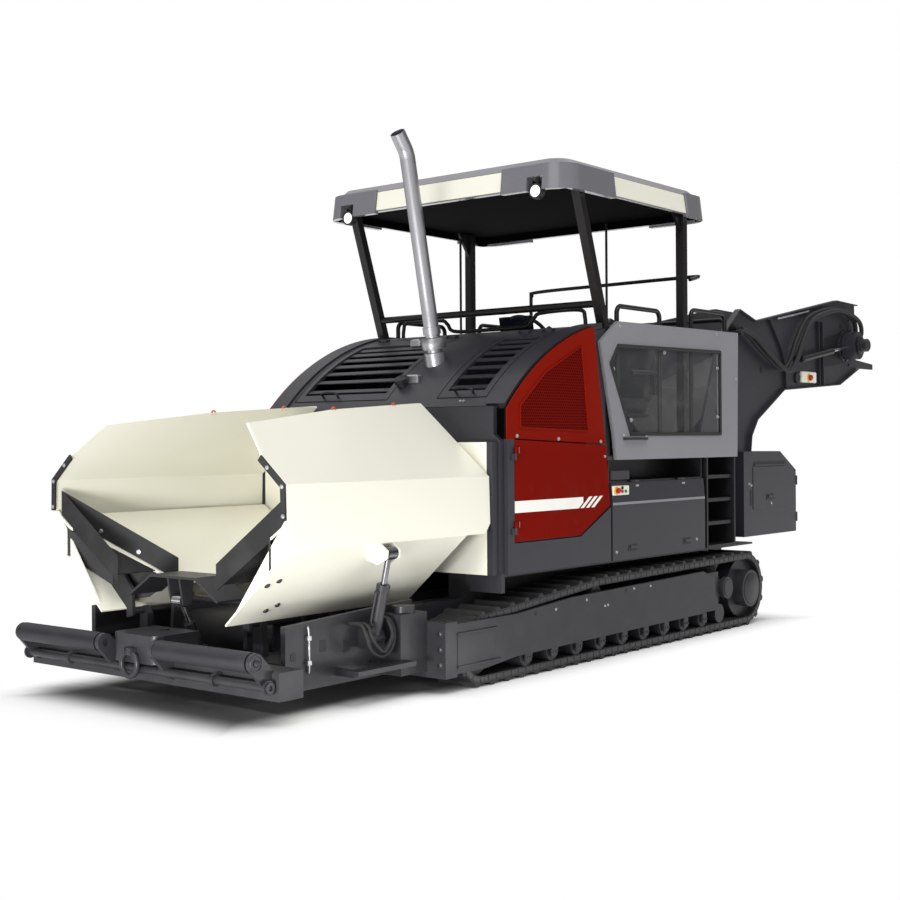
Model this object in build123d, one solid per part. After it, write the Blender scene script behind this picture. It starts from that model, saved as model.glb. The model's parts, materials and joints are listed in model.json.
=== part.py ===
"""Tracked mobile feeder: hopper with folding wings, belt conveyor, engine house, platform and roof.

Stations along X are measured from the tracks' front ground contact, forward positive, Y to the
machine's left and Z up from the ground. At the end every piece is moved along X, so that the
origin lies on the ground under the middle of the machine.
"""
from build123d import *
from math import acos, atan2, cos, degrees, hypot, pi, sin, sqrt
import os

# Driving dimensions, mm.
KNUCKLE_R = 9            # hinge barrels of doors and lids
RUN_GAP = 0.3            # gap between a turning or seated piece and its seat
PLATE = 20               # body sheet with its stiffening
SKIN_OUT = 1200          # outer face of the side panels
SKIN_IN = SKIN_OUT - 30  # inner face of the side panels

# Tracks: circles that the loop runs round, as (x, z, radius at the shoes' tips).
IDLER = (-60, 250, 250)
CARRIER = (-1500, 480, 150)
SPROCKET = (-3880, 330, 330)
TRACK_INNER = 925
SHOE_WIDTH = 320
TRACK_OUTER = TRACK_INNER + SHOE_WIDTH
SHOE_PITCH = 170
LUG = 22                 # height of the shoe's grouser
LOOP_THICK = 75          # from the grousers' tips to the inside of the chain
ROLLER_R = 80
ROLLER_COUNT = 10
ROLLER_FRONT = -560
ROLLER_REAR = -3390
CHEEK = 25               # outer plate of the track frame
FLANGE_X = 300           # joint between track frame and hopper frame
FLANGE_THICK = 60

# Chassis.
BEAM_IN = 700
BEAM_OUT = 860
BEAM_LOW = 250
BEAM_TOP = 700
NOSE_TOP = 540           # top of the beams under the hopper
FLOOR_TOP = 717          # top of the chassis plate, on which the bodywork stands
BEAM_REAR = -4150
TIE_X = BEAM_REAR - 55   # tie-down holes behind the beams
TIE_Y0 = 760
TIE_Y1 = 800
TIE_Z = 490
TIE_R = 30
HOUSE_FRONT = -380       # front face of the engine house
FASCIA_THICK = 40

# Conveyor: path of the belt's upper face, as (x, z).
BELT_PATH = ((1080, 500), (-2450, 500), (-5000, 2160), (-7350, 2800))
BELT_HALF = 450
BELT_LOOP = 240          # height of the belt loop
BELT_THICK = 14
TROUGH_IN = 480
TROUGH_WALL = 20
TROUGH_LOW = 235
TROUGH_RISE = 60         # trough wall above the belt
NECK_IN = 690
NECK_WALL = 25
NECK_FRONT = -3950

# Hopper.
HOPPER_FRONT = 1460      # front of the hopper frame
HOPPER_PLATE_IN = 900
HOPPER_PLATE = 40
HOPPER_LOW = 140
HOPPER_TOP = 600
WING_FRONT = 1630
WING_REAR = -300
WING_LOW_REAR = -40      # rear end of the wing's lower facet
WING_SHEET = 12
WING_HINGE = (560, 520)  # y, z of the wing's hinge
WING_PIN_R = 20
# Bends of the wing's side sheet, as (y, z), from the hinge to the top edge.
WING_BENDS = ((605, 535), (1140, 1010), (1130, 1400), (520, 1915))
# Top edge of the wing's side sheet, as (x, z), from the front backwards.
WING_EDGE = ((WING_FRONT + 20, 1545), (1614, 1590), (1528, 1762), (668, 1857), (20, 1897), (WING_REAR - 20, 1918))
# Upper face of the wing's floor, as (y, z), from the conveyor outwards.
WING_FLOOR = ((400, 700), (1080, 1155))
WING_FLOOR_THICK = 16
WING_RIBS = (60, 560, 960, 1420)
HINGE_BLOCKS = (420, 700, 1300)

# Front apron, hinged across the machine behind the push beam.
APRON_HINGE = (1200, 620)
APRON_FRONT = 1540

# Push beam with its two rollers.
BEAM_BACK = 1560
BEAM_FACE = 1752
BEAM_HALF = 1190
PUSH_LOW = 165
PUSH_HIGH = 330
PUSH_PIVOT_X = 1600
PUSH_PIVOT_TOP = 475
PUSH_PIN_R = 30
ROLL_X = 1872
ROLL_Z = 395
ROLL_R = 61
ROLL_IN = 285
ROLL_OUT = 1095
ROLL_AXLE_R = 22
BUFFER_X = 1800          # round bar below the rollers
BUFFER_Z = 249
BUFFER_R = 26
RING_X = 1877            # towing ring
RING_Z = 285

# Wing cylinders, in the plane x = WING_CYL_X; base and eye as (y, z).
WING_CYL_X = 760
WING_CYL_BASE = (1020, 410)
WING_CYL_EYE = (1150, 945)
WING_BARREL_R = 38
WING_ROD_R = 19
WING_BARREL = 335
WING_ROD_FOOT = 75       # inner end of the rod, from the base eye
EYE_R = 42
EYE_WIDE = 84
LUG_GAP = 48             # from a cylinder's middle plane to its lug plates
EYE_PIN_R = 18
EYE_PLAY = 8
LUG_PLATE = 16
# Apron cylinder, in the plane y = 0; base and eye as (x, z).
APRON_CYL_BASE = (1300, 300)
APRON_CYL_EYE = (1470, 640)
APRON_BARREL_R = 32
APRON_ROD_R = 16
APRON_BARREL = 200
APRON_ROD_FOOT = 175

# Engine house: arch of the hood through three points (x, z).
ARCH = ((-440, 1890), (-940, 2280), (-1720, 2530))
HOOD_SHEET = 30
HOOD_HALF = 1170
HOUSE_REAR = -1740       # rear face of the bulkhead
LID_REAR = -1440
LID_FRONT = -500
LID_SIDES = ((-960, 20), (500, 960))
LID_GAP = 8
LID_PIN_X = LID_REAR + LID_GAP / 2
LID_FRAME = 60
LOUVRES = 7
DOOR_FRONT = -505
DOOR_REAR = -1690
DOOR_LOW = 940
DOOR_HIGH = 1650
DOOR_GAP = 6
DOOR_PIN_X = DOOR_FRONT + DOOR_GAP / 2
DOOR_PIN_Y = SKIN_OUT + 10
DOOR_HINGES = (990, 1510)

# Platform.
DECK_TOP = 1520
DECK_THICK = 30
DECK_REAR = -3850
STORE_FRONT = -1750
STORE_REAR = -3220
STORE_IN = 880
STORE_LID_TOP = 1312
STORE_RIDGE = 1150
STORE_PIN_Y = SKIN_IN + 13
STORE_PIN_Z = STORE_LID_TOP + 11
STORE_HINGES = (-2050, -2780)
STEP_FRONT = -3270
STEP_REAR = -3790
STEP_RUNGS = 3
WINDOW_TOP = 2580
REAR_BOX_FRONT = -4130
REAR_BOX_REAR = -5210
REAR_BOX_LOW = 756
REAR_BOX_TOP = 1528
REAR_BOX_OUT = 1100
REAR_DOOR = 20
REAR_PIN_X = REAR_BOX_REAR - 12
REAR_HINGES = (850, 1200)

# Roof and posts.
ROOF_FRONT = -1130
ROOF_REAR = -3290
ROOF_HALF = 1200
ROOF_LOW = 3515
ROOF_EDGE = 165          # height of the roof's edge
ROOF_CROWN = 60
CAP_IN = 640             # corner mouldings: from here outwards,
CAP_REAR = -1800         # front ones back to here
CAP_FRONT = -2915        # and rear ones from here
LAMP_Y = 950
LAMP_Z = ROOF_LOW - 22
LAMP_R = 48
LAMP_ROOF = ROOF_LOW + 85
POST = 70
POST_Y = 1125
POST_FOOT_X = -1760
POST_KNEE_Z = 2520
POST_HEAD_X = -1400
POST_REAR_X = -2980
RAIL_R = 19
RAIL_Z = 2690            # bar between the front posts
EXHAUST_R = 58
EXHAUST_WALL = 4
EXHAUST_FOOT = (-900, 180, 2190)
EXHAUST_BEND = (-560, 180, 3790)
EXHAUST_TIP = (-455, 180, 3925)

REACH_FRONT = ROLL_X + ROLL_R
REACH_REAR = -8360
TO_MIDDLE = -(REACH_FRONT + REACH_REAR) / 2

nodes = {}


def box(x0, x1, y0, y1, z0, z1):
    """Box between two corners."""
    return Pos((x0 + x1) / 2, (y0 + y1) / 2, (z0 + z1) / 2) * Box(abs(x1 - x0), abs(y1 - y0), abs(z1 - z0))


def slab_y(points, y0, y1):
    """Outline of (x, z) points, carried from y0 to y1."""
    face = make_face(Polyline([(x, y0, z) for x, z in points], close=True))
    return extrude(face, abs(y1 - y0), dir=(0, 1 if y1 > y0 else -1, 0))


def slab_x(points, x0, x1):
    """Outline of (y, z) points, carried from x0 to x1."""
    face = make_face(Polyline([(x0, y, z) for y, z in points], close=True))
    return extrude(face, abs(x1 - x0), dir=(1 if x1 > x0 else -1, 0, 0))


def bar(start, end, radius):
    """Round bar between two points."""
    axis = Vector(*end) - Vector(*start)
    return extrude(Plane(origin=start, z_dir=axis) * Circle(radius), axis.length)


def tube(points, radius, bend):
    """Round bar along straight runs with bends of one radius."""
    path = FilletPolyline(*points, radius=bend)
    return sweep(Plane(path @ 0, z_dir=path % 0) * Circle(radius), path=path)


def offset_line(points, distance):
    """The open line of points moved to its left by a distance, with mitred corners."""
    count = len(points)
    dirs = []
    for (x0, z0), (x1, z1) in zip(points, points[1:]):
        length = hypot(x1 - x0, z1 - z0)
        dirs.append(((x1 - x0) / length, (z1 - z0) / length))
    moved = []
    for i, (x, z) in enumerate(points):
        a = dirs[max(i - 1, 0)]
        b = dirs[min(i, count - 2)]
        nx, nz = -(a[1] + b[1]), a[0] + b[0]
        share = distance / (1 + a[0] * b[0] + a[1] * b[1])
        moved.append((x + nx * share, z + nz * share))
    return moved


def bent(points, thickness):
    """Closed outline of a bent sheet: the line of points and its copy moved to the left."""
    return list(points) + offset_line(points, thickness)[::-1]


def knuckles(start, step, count):
    """Hinge barrels in a row along step: the even ones and the odd ones, a running gap apart."""
    rows = [Part(), Part()]
    a, d = Vector(*start), Vector(*step)
    gap = d.normalized() * RUN_GAP
    for i in range(count):
        rows[i % 2] += bar(a + d * i, a + d * (i + 1) - gap, KNUCKLE_R)
    return rows


def other_side(piece):
    """The same piece on the machine's right."""
    return mirror(piece, about=Plane.XZ)


def pair(name, piece):
    """Left piece and its mirror image, as two nodes."""
    nodes[name + "_left"] = piece
    nodes[name + "_right"] = other_side(piece)


def circle_through(a, b, c):
    """Centre and radius of the circle through three points."""
    ax, az = a[0] - c[0], a[1] - c[1]
    bx, bz = b[0] - c[0], b[1] - c[1]
    d = 2 * (ax * bz - az * bx)
    ux = (bz * (ax * ax + az * az) - az * (bx * bx + bz * bz)) / d
    uz = (ax * (bx * bx + bz * bz) - bx * (ax * ax + az * az)) / d
    return ux + c[0], uz + c[1], hypot(ux, uz)


ARCH_X, ARCH_Z, ARCH_R = circle_through(*ARCH)


def arch_z(x, inset=0):
    """Height of the hood's arch at a station."""
    return ARCH_Z + sqrt((ARCH_R - inset) ** 2 - (x - ARCH_X) ** 2)


def arch_sheet(x0, x1, y0, y1, thick, inset=0):
    """Part of the arched hood between two stations, cut square to its surface."""
    outer, inner = ARCH_R - inset, ARCH_R - inset - thick
    ends = [atan2(arch_z(x) - ARCH_Z, x - ARCH_X) for x in (x0, (x0 + x1) / 2, x1)]

    def at(radius, angle):
        return (ARCH_X + radius * cos(angle), y0, ARCH_Z + radius * sin(angle))

    top = ThreePointArc(*[at(outer, a) for a in ends])
    low = ThreePointArc(*[at(inner, a) for a in ends])
    sides = [Line(at(outer, a), at(inner, a)) for a in (ends[0], ends[2])]
    return extrude(make_face([top, low] + sides), abs(y1 - y0), dir=(0, 1, 0))


def loop_path(circles):
    """Function of the distance along a belt round circles (x, z, r), anticlockwise from the bottom.

    It gives the point and the outward direction; the second value is the belt's whole length.
    """
    parts = []
    for i, (x0, z0, r0) in enumerate(circles):
        x1, z1, r1 = circles[(i + 1) % len(circles)]
        heading = atan2(z1 - z0, x1 - x0)
        gap = hypot(x1 - x0, z1 - z0)
        parts.append((heading - acos((r0 - r1) / gap), sqrt(gap ** 2 - (r0 - r1) ** 2)))
    pieces = []
    for i, (x, z, r) in enumerate(circles):
        before = parts[i - 1][0]
        leave, run = parts[i]
        turn = (leave - before) % (2 * pi)
        pieces.append(("arc", x, z, r, before, turn * r))
        pieces.append(("run", x, z, r, leave, run))
    whole = sum(p[5] for p in pieces)

    def at(s):
        s %= whole
        for kind, x, z, r, angle, length in pieces:
            if s <= length:
                break
            s -= length
        if kind == "arc":
            angle += s / r
            s = 0
        out = (cos(angle), sin(angle))
        return (x + r * out[0] - s * out[1], z + r * out[1] + s * out[0]), out

    return at, whole


def make_tracks():
    """Each track is one loop whose outline has a grouser on every shoe."""
    circles = [(x, z, r - LUG) for x, z, r in (SPROCKET, IDLER, CARRIER)]
    at, whole = loop_path(circles)
    shoes = round(whole / SHOE_PITCH)
    pitch = whole / shoes
    outline = []
    for k in range(shoes):
        for share, height in ((0.00, 0), (0.38, 0), (0.46, LUG), (0.64, LUG), (0.72, 0)):
            (x, z), out = at((k + share) * pitch)
            outline.append((x + out[0] * height, z + out[1] * height))
    loop = slab_y(outline, TRACK_INNER, TRACK_OUTER)
    hole = make_hull([e for x, z, r in (SPROCKET, IDLER, CARRIER)
                      for e in (Pos(x, z) * Circle(r - LOOP_THICK)).edges()])
    lift = Plane(origin=(0, TRACK_INNER - 1, 0), x_dir=(1, 0, 0), z_dir=(0, -1, 0))
    pair("track", loop - extrude(lift * hole, -(SHOE_WIDTH + 2)))


def make_track_frames():
    """Frame inside each loop, with its rollers, idler, sprocket and outer cheek plate."""
    inner = TRACK_INNER + 65
    core = [(60, 190), (-3350, 190), (-3350, 515), (-1600, 500), (-160, 375), (60, 345)]
    frame = slab_y(core, inner, TRACK_OUTER + 5)
    cheek = [(FLANGE_X - 60, 130), (FLANGE_X - 60, 455), (-420, 455), (-1100, 505), (-3050, 540),
             (-3250, 470), (-3250, 260), (-3050, 190), (-420, 165), (-60, 130)]
    frame += slab_y(cheek, TRACK_OUTER + 5, TRACK_OUTER + 5 + CHEEK)
    frame += box(FLANGE_X - 60, FLANGE_X, TRACK_OUTER - 25, TRACK_OUTER + 30, 110, 470)
    step = (ROLLER_FRONT - ROLLER_REAR) / (ROLLER_COUNT - 1)
    roller_z = LOOP_THICK + ROLLER_R + RUN_GAP
    for i in range(ROLLER_COUNT):
        x = ROLLER_FRONT - i * step
        frame += bar((x, inner, roller_z), (x, TRACK_OUTER - 5, roller_z), ROLLER_R)
    for x, z, r in (IDLER, SPROCKET):
        wheel_r = r - LOOP_THICK - RUN_GAP
        frame += bar((x, inner + 60, z), (x, TRACK_OUTER - 60, z), wheel_r)
    x, z, r = SPROCKET
    frame += bar((x, inner, z), (x, TRACK_OUTER + 45, z), 160)
    frame += box(x, -3300, inner, inner + 120, z - 110, z + 110)
    x, z, r = CARRIER
    frame += bar((x, inner, z), (x, TRACK_OUTER - 30, z), r - LOOP_THICK - RUN_GAP)
    frame += bar((-3460, TRACK_OUTER, 370), (-3460, TRACK_OUTER + 40, 370), 92)
    frame += box(-3460, -3340, TRACK_OUTER - 100, TRACK_OUTER, 300, 440)
    pair("track_frame", frame)


def make_main_frame():
    """Two long beams, cross members, axle boxes to the tracks and the plate under the bodywork."""
    frame = Part()
    for x0, x1 in ((-360, -240), (-1500, -1380), (-2380, -2260)):
        frame += box(x0, x1, -BEAM_IN, BEAM_IN, TROUGH_LOW - 35, TROUGH_LOW)
    frame += box(HOUSE_FRONT - FASCIA_THICK, -2240, -SKIN_IN, SKIN_IN, BEAM_TOP, FLOOR_TOP)
    for side in (1, -1):
        frame += box(HOUSE_FRONT, BEAM_REAR, side * BEAM_IN, side * BEAM_OUT, BEAM_LOW - 50, BEAM_TOP)
        frame += box(FLANGE_X, HOUSE_FRONT, side * BEAM_IN, side * BEAM_OUT, BEAM_LOW - 50, NOSE_TOP)
        frame += box(-2240, BEAM_REAR, side * 560, side * SKIN_IN, BEAM_TOP, FLOOR_TOP)
        lug = box(BEAM_REAR - 110, BEAM_REAR, side * TIE_Y0, side * TIE_Y1, TIE_Z - 75, TIE_Z + 75)
        lug -= bar((TIE_X, side * (TIE_Y0 - 5), TIE_Z), (TIE_X, side * (TIE_Y1 + 5), TIE_Z), TIE_R)
        frame += lug
        for x in (-750, -2950):
            frame += box(x - 150, x + 150, side * BEAM_OUT, side * (TRACK_INNER + 65), 250, 340)
    nodes["main_frame"] = frame


def make_hopper_frame():
    """Frame under the hopper: side plates, floors beside the trough, cross plate and hinge blocks."""
    frame = box(HOPPER_FRONT - 30, HOPPER_FRONT, -HOPPER_PLATE_IN, HOPPER_PLATE_IN, HOPPER_LOW, 225)
    out = HOPPER_PLATE_IN + HOPPER_PLATE
    trough_out = TROUGH_IN + TROUGH_WALL
    for side in (1, -1):
        plate = [(FLANGE_X, HOPPER_LOW), (FLANGE_X, HOPPER_TOP), (HOPPER_FRONT, HOPPER_TOP - 60),
                 (HOPPER_FRONT, HOPPER_LOW)]
        frame += slab_y(plate, side * HOPPER_PLATE_IN, side * out)
        frame += box(FLANGE_X, HOPPER_FRONT, side * trough_out, side * HOPPER_PLATE_IN, 300, 316)
        frame += box(FLANGE_X, FLANGE_X + FLANGE_THICK, side * out, side * (TRACK_OUTER + 30), 110, 470)
        frame += box(FLANGE_X + FLANGE_THICK, 620, side * out, side * 1120, 150, 540)
        frame += bar((500, side * 1040, 540), (500, side * 1040, 585), 75)
        frame += box(FLANGE_X, FLANGE_X + 30, side * BEAM_IN, side * HOPPER_PLATE_IN, 316, NOSE_TOP)
        for x in (WING_CYL_X - LUG_GAP - LUG_PLATE, WING_CYL_X + LUG_GAP):
            lug = [(side * out, 345), (side * 1040, 345), (side * 1058, 400), (side * 1040, 450), (side * out, 470)]
            frame += slab_x(lug, x, x + LUG_PLATE)
        y, z = WING_CYL_BASE
        frame += bar((WING_CYL_X - LUG_GAP - 5, side * y, z), (WING_CYL_X + LUG_GAP + 5, side * y, z), EYE_PIN_R)
        for x in HINGE_BLOCKS:
            half_block = ((508, 316), (605, 316), (590, 500), (590, 525), (580, 545), (560, 552), (540, 545),
                          (530, 525), (515, 500))
            hinge = [(side * y, z) for y, z in half_block]
            frame += slab_x(hinge, x - 25, x + 25) - bar((x - 30, side * WING_HINGE[0], WING_HINGE[1]),
                                                         (x + 30, side * WING_HINGE[0], WING_HINGE[1]),
                                                         WING_PIN_R + RUN_GAP)
        frame += box(540, 1080, side * 1090, side * 1180, 215, 245)
        for x in (700, 1000):
            frame += box(x, x + 30, side * out, side * 1100, 195, 240)
    for y in (-LUG_GAP - LUG_PLATE, LUG_GAP):
        lug = [(1265, 225), (1265, 310), (1300, 340), (1335, 310), (1335, 225)]
        frame += slab_y(lug, y, y + LUG_PLATE)
    frame += bar((APRON_CYL_BASE[0], -LUG_GAP - 5, APRON_CYL_BASE[1]),
                 (APRON_CYL_BASE[0], LUG_GAP + 5, APRON_CYL_BASE[1]), EYE_PIN_R)
    frame += box(1150, HOPPER_FRONT, -460, 460, 200, 225)
    hx, hz = APRON_HINGE
    for y in (-375, 345):
        ear = slab_y([(hx - 50, 225), (hx + 60, 225), (hx + 30, hz + 25), (hx - 30, hz + 25)], y, y + 30)
        frame += ear - bar((hx, y - 5, hz), (hx, y + 35, hz), 18 + RUN_GAP)
    frame += box(PUSH_PIVOT_X + 55, HOPPER_FRONT, -130, 130, HOPPER_LOW, PUSH_LOW - RUN_GAP)
    frame += bar((PUSH_PIVOT_X, 0, HOPPER_LOW), (PUSH_PIVOT_X, 0, PUSH_PIVOT_TOP), PUSH_PIN_R)
    nodes["hopper_frame"] = frame


def make_push_beam():
    """Beam that pushes the lorry's tyres, swinging about its centre pin, with roller brackets."""
    beam = box(BEAM_BACK, BEAM_FACE, -BEAM_HALF, BEAM_HALF, PUSH_LOW, PUSH_HIGH)
    nose = box(BEAM_BACK - 60, ROLL_X - 20, -215, 215, PUSH_HIGH - 40, 465)
    beam += fillet(nose.edges().filter_by(Axis.Z).sort_by(Axis.X)[-2:], 70)
    for side in (1, -1):
        for y0, y1 in ((ROLL_IN - 45, ROLL_IN - 10), (ROLL_OUT + 10, ROLL_OUT + 35)):
            arm = [(BEAM_FACE - 20, PUSH_LOW + 30), (BEAM_FACE + 30, PUSH_LOW + 45), (ROLL_X + 35, ROLL_Z - 45),
                   (ROLL_X - 40, ROLL_Z + 40), (BEAM_FACE - 20, PUSH_HIGH)]
            arm = slab_y(arm, side * y0, side * y1)
            arm += bar((ROLL_X, side * y0, ROLL_Z), (ROLL_X, side * y1, ROLL_Z), ROLL_R - 3)
            beam += arm - bar((ROLL_X, side * (y0 - 5), ROLL_Z), (ROLL_X, side * (y1 + 5), ROLL_Z),
                              ROLL_AXLE_R + RUN_GAP)
        beam += bar((BUFFER_X, side * 1145, BUFFER_Z), (BUFFER_X, side * 1160, BUFFER_Z), BUFFER_R + 18)
    beam += bar((BUFFER_X, -1150, BUFFER_Z), (BUFFER_X, 1150, BUFFER_Z), BUFFER_R)
    for y in (-1050, -350, 350, 1050):
        beam += box(BEAM_FACE, BUFFER_X, y - 15, y + 15, BUFFER_Z - 16, BUFFER_Z + 16)
    beam += Pos(RING_X, 0, RING_Z) * Rot(0, 90, 0) * Torus(75, 17)
    beam += box(ROLL_X - 25, RING_X + 13, -45, 45, RING_Z + 55, RING_Z + 100)
    pin = (PUSH_PIVOT_X, 0)
    beam -= bar((*pin, PUSH_LOW - 5), (*pin, PUSH_PIVOT_TOP + 5), PUSH_PIN_R + RUN_GAP)
    nodes["push_beam"] = beam
    roller = bar((ROLL_X, ROLL_IN, ROLL_Z), (ROLL_X, ROLL_OUT, ROLL_Z), ROLL_R)
    roller += bar((ROLL_X, ROLL_IN - 40, ROLL_Z), (ROLL_X, ROLL_OUT + 30, ROLL_Z), ROLL_AXLE_R)
    pair("push_roller", roller)


def floor_z(y):
    """Height of the upper face of the wing's floor."""
    (y0, z0), (y1, z1) = WING_FLOOR
    return z0 + (z1 - z0) * (y - y0) / (y1 - y0)


def make_wings():
    """Wings of the hopper: bent side sheet, floor on ribs with the hinge, and black edge strips."""
    lower = slab_x(bent(WING_BENDS[:2], WING_SHEET), WING_LOW_REAR, WING_FRONT)
    upper = slab_x(bent(WING_BENDS[1:], WING_SHEET), WING_REAR, WING_FRONT)
    eye_y, eye_z = WING_CYL_EYE
    upper -= slab_y([*WING_EDGE, (WING_REAR - 20, 2200), (WING_FRONT + 20, 2200)], 300, 1300)
    upper -= slab_y([(WING_REAR - 5, 1000), (WING_REAR + 65, 1000), (WING_REAR - 5, 1085)], 1000, 1200)
    end_plate = [WING_BENDS[0], WING_BENDS[1], (1133, 1185), (1098, 1185)]
    panel = upper + lower + slab_x(end_plate, WING_FRONT - 30, WING_FRONT - 18)
    floor = slab_x(bent(WING_FLOOR, -WING_FLOOR_THICK), WING_REAR + 20, WING_FRONT - 20)
    corner = [(WING_FRONT, 380), (WING_FRONT, 1000), (1120, 380)]
    cut = make_face(Polyline([(x, y, 600) for x, y in corner], close=True))
    floor -= extrude(cut, 700, dir=(0, 0, 1))
    hy, hz = WING_HINGE
    inner = offset_line(WING_BENDS[:2], WING_SHEET)
    under = offset_line(WING_FLOOR, -WING_FLOOR_THICK / 2)
    for x in WING_RIBS:
        top_in = under[0] if x < 1180 else (780, 950)
        rib = [(hy - 25, hz - 25), (hy + 40, hz - 40), inner[0], inner[1], under[1], top_in,
               (hy - 20, hz + 150), (hy - 25, hz + 25)]
        floor += slab_x(rib, x - 12, x + 12)
    floor += bar((WING_RIBS[0], hy, hz), (WING_RIBS[-1], hy, hz), WING_PIN_R)
    for x in (WING_CYL_X - LUG_GAP - LUG_PLATE, WING_CYL_X + LUG_GAP):
        lug = [(eye_y - 140, eye_z - 43), (eye_y - 20, eye_z + 63), (eye_y + 40, eye_z + 20), (eye_y + 35, eye_z - 30),
               (eye_y - 40, eye_z - 70)]
        panel += slab_x(lug, x, x + LUG_PLATE)
    panel += bar((WING_CYL_X - LUG_GAP - 5, eye_y, eye_z), (WING_CYL_X + LUG_GAP + 5, eye_y, eye_z), EYE_PIN_R)
    floor = floor - panel
    pair("wing_floor", floor)
    pair("wing_panel", panel)
    strip_line = (930, 1569), WING_BENDS[2], (1135, 1190)
    strip = slab_x(bent(strip_line, -40), WING_FRONT + RUN_GAP, WING_FRONT + 12)
    flap_line = ((1130, 425), (1590, 1085))
    corners = [(x, y, floor_z(y) + up) for (x, y), up in zip(flap_line, (RUN_GAP, RUN_GAP))]
    corners += [(x, y, floor_z(y) + up) for (x, y), up in zip(flap_line[::-1], (165, 150))]
    flap = extrude(make_face(Polyline(corners, close=True)), 14, dir=(0.77, -0.64, 0))
    (xa, ya), (xb, yb) = corner[2], corner[1]
    skirt = ((985, floor_z(985) - 22), (450, floor_z(450) - 22), (560, 605), (645, 592), (985, 893))
    skirt = [(xa + (xb - xa) * (y - ya) / (yb - ya), y, z) for y, z in skirt]
    skirt = extrude(make_face(Polyline(skirt, close=True)), 10, dir=(0.77, -0.64, 0))
    pair("wing_strip", strip + flap + (skirt - floor - panel))


def cylinder_parts(base, eye, barrel, barrel_r, rod_r, rod_foot):
    """Barrel and rod of a cylinder that lies along +Z from its base eye at the origin."""
    length = hypot(eye[0] - base[0], eye[1] - base[1])
    body = bar((0, 0, 0), (0, 0, barrel), barrel_r) + bar((-EYE_WIDE / 2, 0, 0), (EYE_WIDE / 2, 0, 0), EYE_R)
    body -= bar((-EYE_WIDE, 0, 0), (EYE_WIDE, 0, 0), EYE_PIN_R + RUN_GAP)
    body -= bar((0, 0, 60), (0, 0, barrel), rod_r + 8)
    body += bar((0, 0, barrel - 30), (0, 0, barrel + 12), barrel_r + 6)
    body -= bar((0, 0, barrel - 40), (0, 0, barrel + 20), rod_r + RUN_GAP)
    rod = bar((0, 0, rod_foot), (0, 0, length), rod_r) + bar((-EYE_WIDE / 2, 0, length), (EYE_WIDE / 2, 0, length), EYE_R)
    rod -= bar((-EYE_WIDE, 0, length), (EYE_WIDE, 0, length), EYE_PIN_R + EYE_PLAY)
    return body, rod


def make_cylinders():
    """Wing cylinders beside the hopper frame and the apron's cylinder in the middle."""
    (y0, z0), (y1, z1) = WING_CYL_BASE, WING_CYL_EYE
    place = Pos(WING_CYL_X, y0, z0) * Rot(-degrees(atan2(y1 - y0, z1 - z0)), 0, 0)
    body, rod = cylinder_parts(WING_CYL_BASE, WING_CYL_EYE, WING_BARREL, WING_BARREL_R, WING_ROD_R,
                               WING_ROD_FOOT)
    pair("wing_cylinder", place * body)
    pair("wing_rod", place * rod)
    (x0, z0), (x1, z1) = APRON_CYL_BASE, APRON_CYL_EYE
    place = Pos(x0, 0, z0) * Rot(0, degrees(atan2(x1 - x0, z1 - z0)), 0) * Rot(0, 0, 90)
    body, rod = cylinder_parts(APRON_CYL_BASE, APRON_CYL_EYE, APRON_BARREL, APRON_BARREL_R, APRON_ROD_R,
                               APRON_ROD_FOOT)
    nodes["apron_cylinder"] = place * body
    nodes["apron_rod"] = place * rod


def make_apron():
    """Front apron: a folded plate over the conveyor's front end, hinged across the machine."""
    hx, hz = APRON_HINGE
    section = bent([(-430, 666), (-215, 800), (215, 800), (430, 666)], -16)
    apron = slab_x([(y, z) for y, z in section], APRON_FRONT - 260, APRON_FRONT)
    apron += slab_y([(hx - 15, hz), (hx + 15, hz - 25), (APRON_FRONT - 200, 770), (APRON_FRONT - 250, 790)], -200, -184)
    apron += slab_y([(hx - 15, hz), (hx + 15, hz - 25), (APRON_FRONT - 200, 770), (APRON_FRONT - 250, 790)], 184, 200)
    apron += bar((hx, -385, hz), (hx, 385, hz), 18)
    ex, ez = APRON_CYL_EYE
    for y in (-LUG_GAP - LUG_PLATE, LUG_GAP):
        lug = [(ex - 30, ez - 25), (ex + 30, ez - 25), (ex + 60, 790), (ex - 60, 790)]
        apron += slab_y(lug, y, y + LUG_PLATE)
    apron += bar((ex, -55, ez), (ex, 55, ez), EYE_PIN_R)
    nodes["front_apron"] = apron


def belt_ring(cut):
    """Outline of the conveyor's belt loop, cut inwards by a distance."""
    top = offset_line(BELT_PATH, cut)
    low = offset_line(BELT_PATH, BELT_LOOP - cut)
    for line in (top, low):
        for end, nxt in ((0, 1), (-1, -2)):
            (x0, z0), (x1, z1) = line[end], line[nxt]
            gap = hypot(x1 - x0, z1 - z0)
            line[end] = (x0 + (x1 - x0) * cut / gap, z0 + (z1 - z0) * cut / gap)
    return top + low[::-1]


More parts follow.
